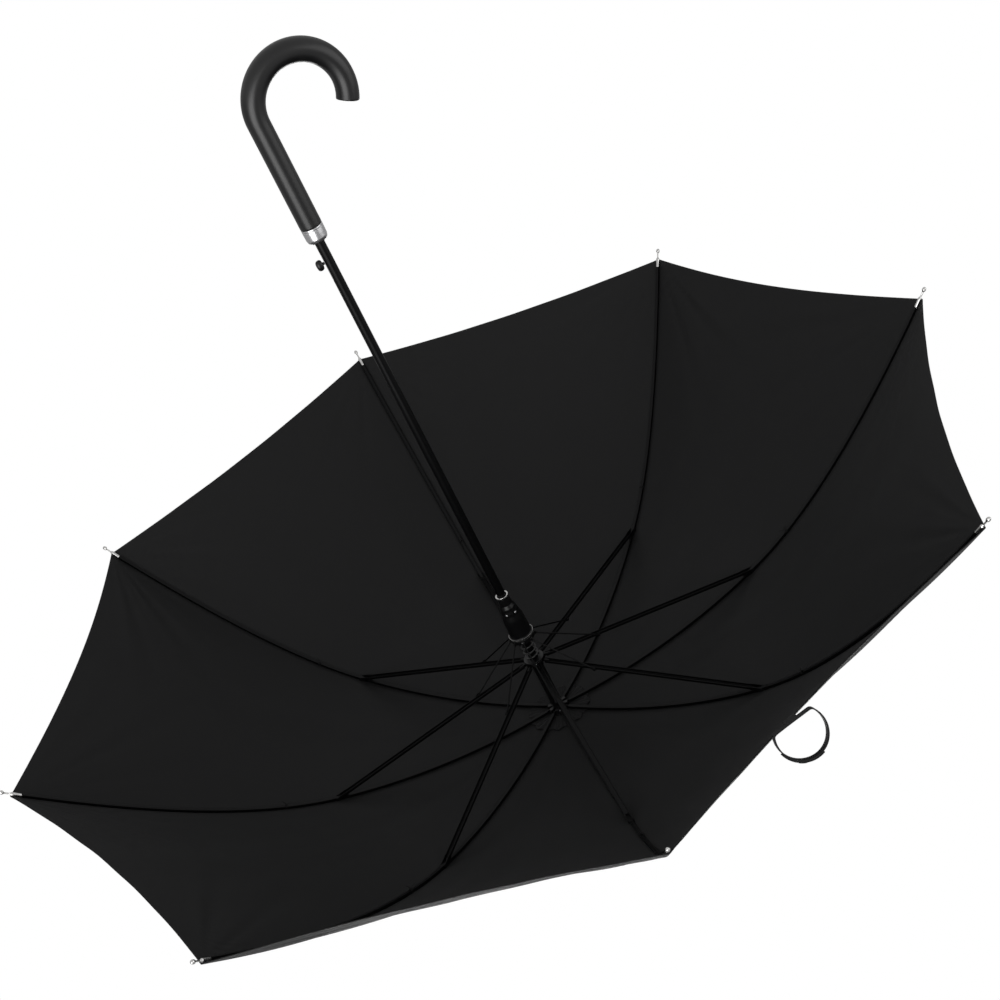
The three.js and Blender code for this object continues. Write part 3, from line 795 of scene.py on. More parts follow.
@dataclass
class Works:
    """The crown, the floating hub, the runner and the spring between them, in millimetres."""

    crown_height: float = 745.7
    hub_height: float = 678.7
    ring_radius: float = 8.5
    link_ring: tuple[float, float] = (12.0, 645.6)
    rim_height: float = 589.0
    runner_length: float = 54.3
    coil: float = 7.1
    coil_wire: float = 0.75
    turns: float = 8.0
    rivet_azimuths: tuple[float, float] = (73.0, 133.0)

    def build(self) -> None:
        """Makes the crown end, the hub, the runner and the spring."""
        self.crown()
        self.hub()
        self.runner()
        self.spring()

    @staticmethod
    def _ring(name: str, node: str, body: str, radius: float, wire: float, height: float) -> None:
        """A wire ring: a circle carried round the shaft."""
        profile = circle(wire * MM, 12) + np.array([radius, height]) * MM
        piece = Form().grid(lathe(profile, 72), wrap_rows=True).piece(name, Slot.BRIGHT_STEEL, WIRE)
        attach(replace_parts(piece, node), body)

    def crown(self) -> None:
        """The crown's wheel with the stop sleeve below it, the cap over the cloth and the ferrule."""
        z, form = self.crown_height, Form()
        Wheel(z, -3.4, 2.2, (2.0, 3.8)).into(form)
        foot = self.hub_height + 3.8
        sleeve = rounded([(4.9, foot), (5.9, foot), (5.9, z - 3), (4.9, z - 3)], 0.3)
        form.grid(lathe(sleeve, 64), wrap_rows=True)
        piece = form.piece("crown_wheel", Slot.PLASTIC, PLASTIC)
        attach(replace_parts(piece, "crown_notch"), "root")
        self._ring("crown_ring", "crown_wire", "root", self.ring_radius, 0.5, z)
        low = z + 8
        cap = rounded([(4.9, low), (15, low), (15, low + 1.2), (12, low + 3), (8, low + 5), (6.6, low + 9),
                       (4.9, low + 9)], 0.9)
        piece = Form().grid(lathe(cap, 96), wrap_rows=True).piece("crown_cap", Slot.PLASTIC, PLASTIC)
        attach(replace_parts(piece, "top_cap"), "root")
        low = z + 17.3
        tip = rounded([(0, 790.4), (4.9, 790.4), (4.9, low), (6.2, low), (6.2, low + 2), (5.8, low + 8),
                       (4.4, low + 50), (4.7, low + 54), (3.4, low + 57), (0, low + 57)], 1.0, closed=False)
        piece = Form().grid(lathe(tip, 80)).piece("ferrule_spike", Slot.NICKEL, NICKEL)
        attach(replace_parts(piece, "ferrule"), "root")

    def hub(self) -> None:
        """The floating hub, with its flange towards the runner, and its ring wire."""
        form = Wheel(self.hub_height, -2.2, 3.4, (-3.8, -2.0)).into(Form())
        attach(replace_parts(form.piece("hub_wheel", Slot.PLASTIC, PLASTIC), "hub"), "hub")
        self._ring("hub_ring", "hub_wire", "hub", self.ring_radius, 0.5, self.hub_height)

    def runner(self) -> None:
        """The runner: a stepped, flared sleeve, its notched ring, a bright rim at its foot, a thin bright
        nickel band round its flare that is a painted highlight on that edge, and two rivets.
        """
        z, top = self.rim_height, self.rim_height + self.runner_length
        barrel = rounded([(5, z + 2), (6.4, z + 2), (6.6, z + 11), (8.5, z + 15), (8.6, z + 17), (9.5, z + 21),
                          (9.6, z + 23), (11.0, z + 29), (11.2, z + 31), (11.8, top - 3.5), (13, top - 3),
                          (13, top), (8.6, top), (8.6, z + 30), (5, z + 30)], 0.8)
        form = Form().grid(lathe(barrel, 96), wrap_rows=True)
        ring_height = self.link_ring[1]
        Wheel(ring_height, top - ring_height - 0.4, 1.6, (0, 0), 13.0, 10.0, 8.6, 2.2, 3.6).teeth(form)
        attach(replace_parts(form.piece("runner_sleeve", Slot.PLASTIC, PLASTIC), "runner"), "runner")
        rim = rounded([(5, z), (6.9, z), (6.9, z + 1.7), (5, z + 1.7)], 0.5)
        piece = Form().grid(lathe(rim, 96), wrap_rows=True).piece("runner_foot_rim", Slot.NICKEL, NICKEL)
        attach(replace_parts(piece, "runner_rim"), "runner")
        # Painted highlight: this bright nickel band stands in for the light caught along the flare's edge; the
        # flare itself is black moulding.
        highlight_band_profile = rounded([(12.9, top - 3.0), (13.2, top - 3.0), (13.2, top - 0.2), (12.9, top - 0.2)], 0.1)
        piece = Form().grid(lathe(highlight_band_profile, 96), wrap_rows=True).piece("runner_flare_band", Slot.NICKEL, NICKEL)
        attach(piece, "runner")
        self._ring("runner_ring", "runner_wire", "runner", *self._link_ring())
        dome = rounded([(0, 0), (1.5, 0), (1.1, 0.8), (0, 1.0)], 0.5, closed=False)
        for number, azimuth in enumerate(self.rivet_azimuths, 1):
            turn = lathe(dome, 24)
            grid = np.stack([turn[..., 2] + 9.5 * MM, turn[..., 1], turn[..., 0] + (z + 20.7) * MM], axis=-1)
            grid = turned_about_shaft(grid, math.radians(azimuth))
            piece = Form().grid(grid).piece(f"runner_rivet_head_{number}", Slot.BRIGHT_STEEL, WIRE)
            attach(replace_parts(piece, f"runner_rivet_{number}"), "runner")

    def _link_ring(self) -> tuple[float, float, float]:
        """Radius, wire and height of the ring that the links turn on."""
        radius, height = self.link_ring
        return radius, 0.5, height

    def spring(self) -> None:
        """A wire carried along a helix with flat ends: height follows an eased share of the turn."""
        low, high = self.rim_height + 30 + self.coil_wire + 0.3, self.hub_height - 3.8 - self.coil_wire - 0.3
        t = np.linspace(0.0, 1.0, int(self.turns * 40) + 1)
        share = 0.5 - 0.5 * np.cos(math.pi * t)
        height = low + (high - low) * (0.75 * t + 0.25 * share)
        angle = 2 * math.pi * self.turns * t
        path = np.stack([self.coil * np.cos(angle), self.coil * np.sin(angle), height], axis=-1) * MM
        side = np.stack([np.cos(angle), np.sin(angle), 0 * angle], axis=-1)
        grid = carried(path, circle(self.coil_wire * MM, 12), side)
        piece = Form().rod(grid).piece("opening_spring", Slot.SPRING, OILED)
        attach(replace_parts(piece, "main_spring"), "hub")
        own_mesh(piece)


# ---- arms -----------------------------------------------------------------------------------------


@dataclass
class Arm:
    """One rib with its stretcher, link, tip and tie, in millimetres."""

    number: int
    line: RibLine
    start: float = 4.6
    tip_sleeve: float = 10.0
    corner: float = 9.0
    link_reach: float = 62.0
    link_aside: float = 3.6
    link_foot: float = 645.6
    link_ring: float = 12.0
    hub_height: float = 678.7
    tie_reach: float = 54.0

    def __post_init__(self) -> None:
        """Works out the arm's direction and axes."""
        self.azimuth = azimuth_of(self.number - 1)
        self.side = turned_about_shaft(np.array([0.0, 1.0, 0.0]), self.azimuth)

    def build(self) -> None:
        """Makes the arm's pieces."""
        self.rib()
        self.pivot()
        self.stretcher()
        self.link()
        self.tip()
        self.tie()

    def _plane(self, x: float, aside: float, z: float, degrees: float) -> Plane:
        """A plane in the arm, at a point in metres, whose x runs at an angle above level and y beside it."""
        a = math.radians(degrees)
        axes = np.array([[math.cos(a), 0, math.sin(a)], [-math.sin(a), 0, math.cos(a)]])
        origin = turned_about_shaft(np.array([x, aside, z]), self.azimuth)
        return Plane(origin, *turned_about_shaft(axes, self.azimuth))

    def rib(self) -> None:
        """A fluted strip: a channel carried along the rib's line, with a flat eye at the crown."""
        line = self.line
        end = line.whole - (self.corner + self.tip_sleeve + 0.3) * MM
        path = turned_about_shaft(line.path(self.start * MM, end, 150), self.azimuth)
        form = Form().rod(carried(path, channel(3.4, 3.0, 0.6, False), self.side))
        crown_slope = 2 * line.chord_slope - line.joint_slope
        plane = self._plane(line.hinge[0], 0.0, line.hinge[1], -crown_slope)
        form.slab(eye_outline(9 * MM, 1.4 * MM), -0.8 * MM, 0.8 * MM, plane)
        piece = form.piece(f"fluted_rib_{self.number}", Slot.BLACK_STEEL, ENAMEL)
        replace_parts(piece, f"rib_inner_{self.number}", f"rib_outer_{self.number}")
        before, after = line.path(line.inner - 0.07, line.inner + 0.07, 2)
        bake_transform(piece)

    def pivot(self) -> None:
        """The clip that wraps the rib at the stretcher's pivot, with its pin."""
        line = self.line
        path = turned_about_shaft(line.path(line.inner - 0.007, line.inner + 0.007, 8), self.azimuth)
        form = Form().rod(carried(path, channel(3.9, 3.7, 0.4, False), self.side))
        clip = form.piece(f"pivot_clip_{self.number}", Slot.BLACK_STEEL, ENAMEL)
        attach(clip, f"rib_{self.number}")
        head = rounded([(0, -3.3), (1.2, -3.1), (1.3, -2.75), (0.8, -2.7), (0.8, 2.7), (1.3, 2.75), (1.2, 3.1),
                        (0, 3.3)], 0.2, closed=False)
        turn = lathe(head, 20)
        grid = np.stack([turn[..., 0] + line.joint[0], turn[..., 2], turn[..., 1] + line.joint[1]], axis=-1)
        pin = Form().grid(turned_about_shaft(grid, self.azimuth)).piece(f"pivot_pin_{self.number}",
                                                                        Slot.BLACK_STEEL, ENAMEL)
        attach(pin, f"rib_{self.number}")

    def stretcher(self) -> None:
        """A straight channel from the hub to the pivot, with an eye at one end and two ears at the other."""
        slope, chord = math.radians(self.line.chord_slope), self.line.chord
        way = np.linspace(self.start * MM, chord - 10 * MM, 40)
        hub = np.array([self.line.hinge[0], self.hub_height * MM])
        path = np.stack([hub[0] + way * math.cos(slope), 0 * way, hub[1] + way * math.sin(slope)], axis=-1)
        path = turned_about_shaft(path, self.azimuth)
        form = Form().rod(carried(path, channel(5.2, 3.0, 0.6, True), self.side))
        eye = self._plane(hub[0], 0.0, hub[1], self.line.chord_slope)
        form.slab(eye_outline(9 * MM, 1.4 * MM), -0.8 * MM, 0.8 * MM, eye)
        joint = self.line.joint
        for aside in (-2.6, 2.0):
            ear = self._plane(joint[0], 0.0, joint[1], 180.0 + self.line.chord_slope)
            form.slab(eye_outline(12 * MM, 2 * MM), aside * MM, (aside + 0.6) * MM, ear)
        name = f"stretcher_bar_{self.number}"
        piece = form.piece(name, Slot.BLACK_STEEL, ENAMEL)
        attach(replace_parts(piece, f"stretcher_{self.number}"), f"stretcher_{self.number}")
        head = self._head()
        dome = rounded([(0, 2.0), (1.0, 2.0), (1.0, 4.4), (1.7, 4.5), (1.5, 5.1), (0, 5.3)], 0.25, closed=False)
        turn = lathe(dome, 20)
        grid = np.stack([turn[..., 0] + head[0], turn[..., 2], turn[..., 1] + head[1]], axis=-1)
        rivet = Form().grid(turned_about_shaft(grid, self.azimuth)).piece(f"link_rivet_{self.number}",
                                                                          Slot.BLACK_STEEL, ENAMEL)
        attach(rivet, f"stretcher_{self.number}")

    def _head(self) -> Array:
        """(radius, height) of the link's head on the stretcher, in metres."""
        slope = math.radians(self.line.chord_slope)
        way = self.link_reach * MM
        rise = self.hub_height * MM + way * math.sin(slope)
        return np.array([self.line.hinge[0] + way * math.cos(slope), rise])

    def link(self) -> None:
        """A wire from an eye on the runner's ring to a flattened head on the stretcher."""
        foot_x = math.sqrt(self.link_ring**2 - self.link_aside**2) * MM
        foot, head, aside = np.array([foot_x, self.link_foot * MM]), self._head(), self.link_aside * MM
        reach = float(np.hypot(*(head - foot)))
        degrees = math.degrees(math.atan2(head[1] - foot[1], head[0] - foot[0]))
        along = (head - foot) / reach
        way = np.linspace(1.6 * MM, reach - 1.2 * MM, 30)
        path = np.stack([foot[0] + way * along[0], aside + 0 * way, foot[1] + way * along[1]], axis=-1)
        path = turned_about_shaft(path, self.azimuth)
        form = Form().rod(carried(path, circle(0.8 * MM, 14), self.side))
        eye = self._plane(foot[0], aside, foot[1], degrees)
        form.slab(eye_outline(3 * MM, 1.4 * MM), -0.6 * MM, 0.6 * MM, eye)
        flat = self._plane(head[0], aside, head[1], degrees + 180)
        form.slab(eye_outline(4 * MM, 1.7 * MM), -0.5 * MM, 0.5 * MM, flat)
        piece = form.piece(f"link_wire_{self.number}", Slot.BLACK_STEEL, ENAMEL)
        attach(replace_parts(piece, f"link_{self.number}"), f"link_{self.number}")

    def tip(self) -> None:
        """A turned nickel end: a sleeve, a thin neck and a small ball, along the rib's last slope."""
        start = -self.corner - self.tip_sleeve
        profile = rounded([(0, start), (1.8, start), (1.9, start + 0.6), (1.9, -9.4), (1.4, -8.4), (0.8, -7.4),
                           (0.8, -2.4), (1.6, -1.5), (2.0, -0.3), (2.0, 0.9), (1.5, 2.2), (0.8, 2.8),
                           (0, 2.9)], 0.4, closed=False)
        turn = lathe(profile, 28)
        a = -math.radians(self.line.tip_slope)
        x = self.line.tip[0] + turn[..., 2] * math.cos(a) - turn[..., 0] * math.sin(a)
        z = self.line.tip[1] + turn[..., 2] * math.sin(a) + turn[..., 0] * math.cos(a)
        grid = turned_about_shaft(np.stack([x, turn[..., 1], z], axis=-1), self.azimuth)
        piece = Form().grid(grid).piece(f"rib_tip_{self.number}", Slot.NICKEL, NICKEL)
        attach(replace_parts(piece, f"tip_{self.number}"), f"rib_end_{self.number}")

    def tie(self) -> None:
        """The thread that holds the cloth to the rib: two turns, a knot below and two loose tails."""
        way = self.line.inner + self.tie_reach * MM
        r, z = self.line.over(np.array([way, way + 0.001]), 0.0)
        slope = math.degrees(math.atan2(z[1] - z[0], r[1] - r[0]))
        plane = self._plane(r[0], 0.0, z[0], slope)
        down = -np.array(plane.y)
        t = np.linspace(0.0, 2.0, 65)
        a = 2 * math.pi * t
        wide, tall = 2.1 * np.cos(a) * MM, (0.2 + 2.1 * np.sin(a)) * MM
        loop = plane.origin + wide[:, None] * self.side + tall[:, None] * down
        loop = loop + ((t - 1) * 0.9 * MM)[:, None] * plane.x
        form = Form().rod(carried(loop, circle(0.35 * MM, 8), np.broadcast_to(plane.x, loop.shape)))
        centre = plane.origin + down * 2.7 * MM
        arc = np.linspace(0, math.pi, 13)
        ball = lathe(np.stack([np.sin(arc), np.cos(arc)], axis=-1), 16)
        axes = np.stack([plane.x * 1.3, np.array(self.side) * 1.0, down * 0.8]) * MM
        form.grid(centre + ball @ axes)
        for lean, length in ((0.55, 8.0), (-0.8, 6.5)):
            s = np.linspace(0.0, 1.0, 12)[:, None]
            out = s * (lean * plane.x + 0.35 * lean * self.side)
            tail = centre + length * MM * (out + (s - 0.35 * s**2) * down * 0.8)
            form.rod(carried(tail, circle(0.35 * MM, 8), self.side, np.linspace(1.0, 0.6, 12)))
        piece = form.piece(f"rib_tie_{self.number}", Slot.WEBBING, WEBBING)
        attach(piece, f"rib_end_{self.number}")


# ---- cloth ----------------------------------------------------------------------------------------


@dataclass
class Canopy:
    """The cloth: eight panels sewn over the ribs, each worked out as one surface of way and share."""

    line: RibLine
    lift: float = 0.0026
    crown_lift: float = 0.0014
    hole: float = 0.012
    corner: float = 0.009
    dip: float = 0.012
    sag: float = 0.014
    slack: tuple[float, ...] = (1.0, 0.45, 0.43, 0.43, 0.45, 1.0, 1.0, 1.0)
    thickness: float = 0.0005
    seam: float = 0.005
    hem: float = 0.0065
    columns: int = 34
    rows: dict[Stretch, int] = field(default_factory=lambda: {Stretch.INNER: 40, Stretch.OUTER: 76})
    keep: dict[Stretch, float] = field(default_factory=lambda: {Stretch.INNER: 0.15, Stretch.OUTER: 0.09})

    def __post_init__(self) -> None:
        """The way along the rib at which the cloth starts."""
        self.begin = self.hole - self.line.hinge[0]

    def end(self, share: Array) -> Array:
        """The way at which the hem lies: it curves inwards between the ribs by dip times 4s(1 - s)."""
        return self.line.whole - self.corner - self.dip * 4 * share * (1 - share)

    def point(self, way: Array, share: Array, panel: int) -> Array:
        """A point of the cloth.

        The point lies on the straight line between the same ways on the two ribs, raised off them, then
        sagged inwards by sag * slack * 4s(1 - s) * u^1.6, where u is the share of the way to the hem and
        slack is the panel's own, and last moved by the wrinkles.

        Args:
            way: the way along the ribs from the crown's hinge.
            share: s, from 0 on the panel's first rib to 1 on its second.
            panel: the panel's number, from 0.

        Returns:
            Points with x, y, z on the last axis.
        """
        middle = 4 * share * (1 - share)
        u = np.clip((way - self.begin) / (self.end(share) - self.begin), 0.0, 1.2)
        lift = self.lift + self.crown_lift * (1 - smoothstep(way / 0.042))
        r, z = self.line.over(way, lift)
        a, b = azimuth_of(panel), azimuth_of(panel + 1)
        x = r * (math.cos(a) * (1 - share) + math.cos(b) * share)
        y = r * (math.sin(a) * (1 - share) + math.sin(b) * share)
        slope = u * math.radians(self.line.tip_slope)
        flat = np.hypot(x, y)
        pull = self.sag * self.slack[panel] * middle * u**1.6 - self.wrinkle(way, share, panel, r)
        x = x - x / flat * np.sin(slope) * pull
        y = y - y / flat * np.sin(slope) * pull
        return np.stack([x, y, z - np.cos(slope) * pull], axis=-1)

    def wrinkle(self, way: Array, share: Array, panel: int, radius: Array) -> Array:
        """How far the cloth stands off its smooth shape.

        Folds fan out from each tip as sines of the angle round it that die away with distance and towards
        the hem. Long soft folds run from the crown to the hem, which flutters a little. All are nothing on
        the ribs.

        Args:
            way: the way along the ribs.
            share: the share across the panel.
            panel: the panel's number, from 0.
            radius: the distance from the shaft, in metres.

        Returns:
            The heights, in metres.
        """
        width = 2 * radius * math.sin(math.pi / ARMS)
        to_hem = np.maximum(self.end(share) - way, 0.0)
        pinned = np.sqrt(np.clip(4 * share * (1 - share), 0.0, 1.0))
        total = np.zeros(np.broadcast(way, share).shape)
        for number, aside in ((0, share * width), (1, (1 - share) * width)):
            phase = 1.7 * panel + 2.9 * number
            away = np.hypot(aside, to_hem)
            angle = np.arctan2(aside, to_hem + 1e-6)
            fan = np.sin(15 * angle + phase) + 0.5 * np.sin(27 * angle + 2 * phase)
            total = total + 0.0015 * (away / 0.05) * np.exp(-away / 0.05) * fan
        total = total * (0.2 + 0.8 * smoothstep(to_hem / 0.045))
        long = np.sin(2 * math.pi * (2.3 * share + 0.37 * panel))
        long = long + 0.6 * np.sin(2 * math.pi * (4.1 * share + 0.61 * panel))
        total = total + 0.0005 * long * smoothstep(way / 0.25) * (0.3 + 0.7 * smoothstep(to_hem / 0.08))
        flutter = np.sin(2 * math.pi * (share * 5.0 + 0.23 * panel)) * np.exp(-to_hem / 0.02)
        return (total + 0.0002 * flutter) * pinned

    def normal(self, way: Array, share: Array, panel: int) -> Array:
        """The outward direction: the cross product of small steps along the share and the way.

        Args:
            way: the way along the ribs.
            share: the share across the panel.
            panel: the panel's number, from 0.

        Returns:
            Directions of length 1.
        """
        d, s = 2e-4, 1e-3
        along = self.point(way + d, share, panel) - self.point(way - d, share, panel)
        across = self.point(way, share + s, panel) - self.point(way, share - s, panel)
        n = np.cross(along, across)
        return n / np.linalg.norm(n, axis=-1, keepdims=True)

    def ways(self, stretch: Stretch, share: Array) -> Array:
        """Ways for a grid of shares: even rows to the pivot, or from it with three close rows at the hem.

        Each is the start plus a fraction of the way to the hem less a tail.

        Args:
            stretch: the part of the rib.
            share: the shares across the panel, as in point.

        Returns:
            The ways, one row for each step along the rib.
        """
        count = self.rows[stretch]
        if stretch is Stretch.INNER:
            return self.begin + (self.line.inner - self.begin) * np.linspace(0, 1, count)[:, None] + 0 * share
        fraction = np.concatenate([np.linspace(0, 1, count - 3), np.ones(3)])[:, None]
        tail = np.concatenate([np.full(count - 3, self.hem + 0.0008), [self.hem, 0.0008, 0.0]])[:, None]
        return self.line.inner + (self.end(share) - tail - self.line.inner) * fraction

    def half_panel(self, arm: int, half: Half, stretch: Stretch) -> bpy.types.Object:
        """One side of a rib's cloth over one stretch, out to the middle of the panel.

        The columns are close together beside the rib, where the seam's allowance lies, and even beyond it.

        Args:
            arm: the rib's number, from 0.
            half: the side of the rib.
            stretch: the part of the rib.

        Returns:
            The piece, which rides on that part of the rib.
        """
        near = np.array([0.0, 0.0022, self.seam - 0.0004, self.seam + 0.0004])
        guess = self.ways(stretch, np.full((self.rows[stretch], 1), 0.25))
        radius = self.line.over(guess, self.lift)[0]
        wide = radius * math.sin(math.pi / ARMS)
        close = near * np.minimum(1.0, wide / 0.02)
        far = close[:, -1:] + (wide - close[:, -1:]) * np.linspace(0, 1, self.columns - 3)[None, 1:]
        aside = np.hstack([close, far])
        share = aside / (2 * wide)
        panel = arm if half is Half.LEFT else (arm - 1) % ARMS
        if half is Half.RIGHT:
            share = 1.0 - share
        way = self.ways(stretch, share)
        surface, normal = self.point(way, share, panel), self.normal(way, share, panel)
        allowance = 0.0005 * smoothstep((self.seam + 0.0004 - aside) / 0.0008) + 0.0003 * (
            smoothstep((way - self.end(share) + self.hem + 0.0004) / 0.0008))
        under = surface - normal * allowance[..., None]
        over = surface + normal * (self.thickness + 0.3 * allowance)[..., None]
        name = f"cloth_{stretch.value}_{half.name.lower()}_{arm + 1}"
        cut = np.stack([aside * half.value, way], axis=-1)
        piece = sheet_piece(name, under, over, normal, cut, Slot.CLOTH, CLOTH)
        body = f"rib_{arm + 1}" if stretch is Stretch.INNER else f"rib_end_{arm + 1}"
        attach(piece, body)
        self._fold(piece, surface, stretch)
        area = area_of(surface)
        size = (float(aside.max()), float(way.max() - way.min()))
        return piece

    def _fold(self, piece: bpy.types.Object, surface: Array, stretch: Stretch) -> None:
        """Gives a half panel its own mesh; it also works out the rib's chord, the way to the far corner and an
        anchor, which are not used.

        Args:
            piece: the half panel.
            surface: its grid of points, from the rib outwards.
            stretch: the part of the rib; not used.
        """
        start, end, far = surface[0, 0], surface[-1, 0], surface[-1, -1]
        chord = (end - start) / np.linalg.norm(end - start)
        across = far - end
        across = across - chord * (across @ chord)
        across /= np.linalg.norm(across)
        bulge = surface[len(surface) // 2, 0]
        anchor = start + chord * ((bulge - start) @ chord)
        anchor = (anchor + bulge) / 2
        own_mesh(piece)

    def build(self) -> None:
        """Makes the cloth over every rib, and the rosette under it."""
        for arm in range(ARMS):
            for half in Half:
                for stretch in Stretch:
                    self.half_panel(arm, half, stretch)
        for arm in range(ARMS):
            self.rosette(arm)
        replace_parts(bpy.data.objects["cloth_inner_left_1"], "canopy")
        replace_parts(bpy.data.objects["rosette_1"], "inner_rosette")

    def rosette(self, arm: int) -> None:
        """An eighth of the pleated patch round the crown, with a scalloped edge.

        Args:
            arm: the number of the rib it lies on, from 0.
        """
        azimuth = azimuth_of(arm)
        t = np.linspace(0.0, 1.0, 16)[:, None]
        a = np.linspace(-math.pi / ARMS, math.pi / ARMS, 49)[None]
        reach = 0.031 + 0.0035 * np.abs(np.cos(2 * ARMS / 2 * a))
        start = 0.0125 - self.line.hinge[0]
        way = start + (reach - self.line.hinge[0] - start) * t
        r, z = self.line.over(way, self.lift + self.crown_lift * (1 - smoothstep(way / 0.042)) - 0.0009)
        pleat = 0.0005 * t * np.cos(4 * ARMS * a)
        grid = np.stack([r * np.cos(a), r * np.sin(a), z - 0.0004 + pleat], axis=-1)
        surface = turned_about_shaft(grid, azimuth)
        normal = np.zeros_like(surface)
        normal[..., 2] = 1.0
        cut = np.stack(np.broadcast_arrays(r * a, r), axis=-1)
        name = f"rosette_{arm + 1}"
        piece = sheet_piece(name, surface, surface + normal * 0.0003, None, cut, Slot.CLOTH, WEBBING)
        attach(piece, f"rib_{arm + 1}")
        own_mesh(piece)
        area = area_of(surface)


def area_of(grid: Array) -> float:
    """The area of a grid of points: half the lengths of the cross products of each cell's diagonals."""
    first, second = grid[1:, 1:] - grid[:-1, :-1], grid[1:, :-1] - grid[:-1, 1:]
    return float(np.linalg.norm(np.cross(first, second), axis=-1).sum() / 2)


def sheet_piece(name: str, under: Array, over: Array, normal: Array | None, cut: Array, slot: Slot,
                paint: Finish) -> bpy.types.Object:
    """A thin closed sheet: two grids of the same size, joined round their four edges.

    Args:
        name: the piece's name.
        under: the lower face, (rows, columns, 3).
        over: the upper face.
        normal: the outward directions of the upper face, or None for the mesh's own.
        cut: each point's place on the flat cut, in metres, used as the UV map.
        slot: the record's slot.
        paint: the finish.

    Returns:
        The piece.
    """
    rows, columns = under.shape[:2]
    index = np.arange(rows * columns).reshape(rows, columns)
    top = index + rows * columns
    down = np.stack([index[:-1, :-1], index[:-1, 1:], index[1:, 1:], index[1:, :-1]], axis=-1).reshape(-1, 4)
    up = np.stack([top[:-1, :-1], top[1:, :-1], top[1:, 1:], top[:-1, 1:]], axis=-1).reshape(-1, 4)
    loop = np.concatenate([index[0, :-1], index[:-1, -1], index[-1, :0:-1], index[:0:-1, 0]])
    onward = np.roll(loop, -1)
    lift = rows * columns
    rim = np.stack([loop, loop + lift, onward + lift, onward], axis=-1)
    faces = np.vstack([down, up, rim])
    mesh = bpy.data.meshes.new(name)
    points = np.vstack([under.reshape(-1, 3), over.reshape(-1, 3)])
    outward = up[:, :3]
    a, b, c = (points[outward[:, k]] for k in range(3))
    if float((np.cross(b - a, c - a) * (over - under).reshape(-1, 3)[outward[:, 0] - lift]).sum()) < 0:
        faces = faces[:, ::-1]
    mesh.from_pydata(points.tolist(), [], faces.tolist())
    mesh.shade_smooth()
    corner = np.zeros(len(mesh.loops), np.int32)
    mesh.loops.foreach_get("vertex_index", corner)
    uv = mesh.uv_layers.new(name="cut")
    flat = np.vstack([cut.reshape(-1, 2)] * 2)
    uv.data.foreach_set("uv", flat[corner].astype(np.float32).ravel())
    if normal is not None:
        both = np.vstack([-normal.reshape(-1, 3), normal.reshape(-1, 3)])
        mesh.normals_split_custom_set_from_vertices(both.tolist())
    return added(name, mesh, slot, paint)


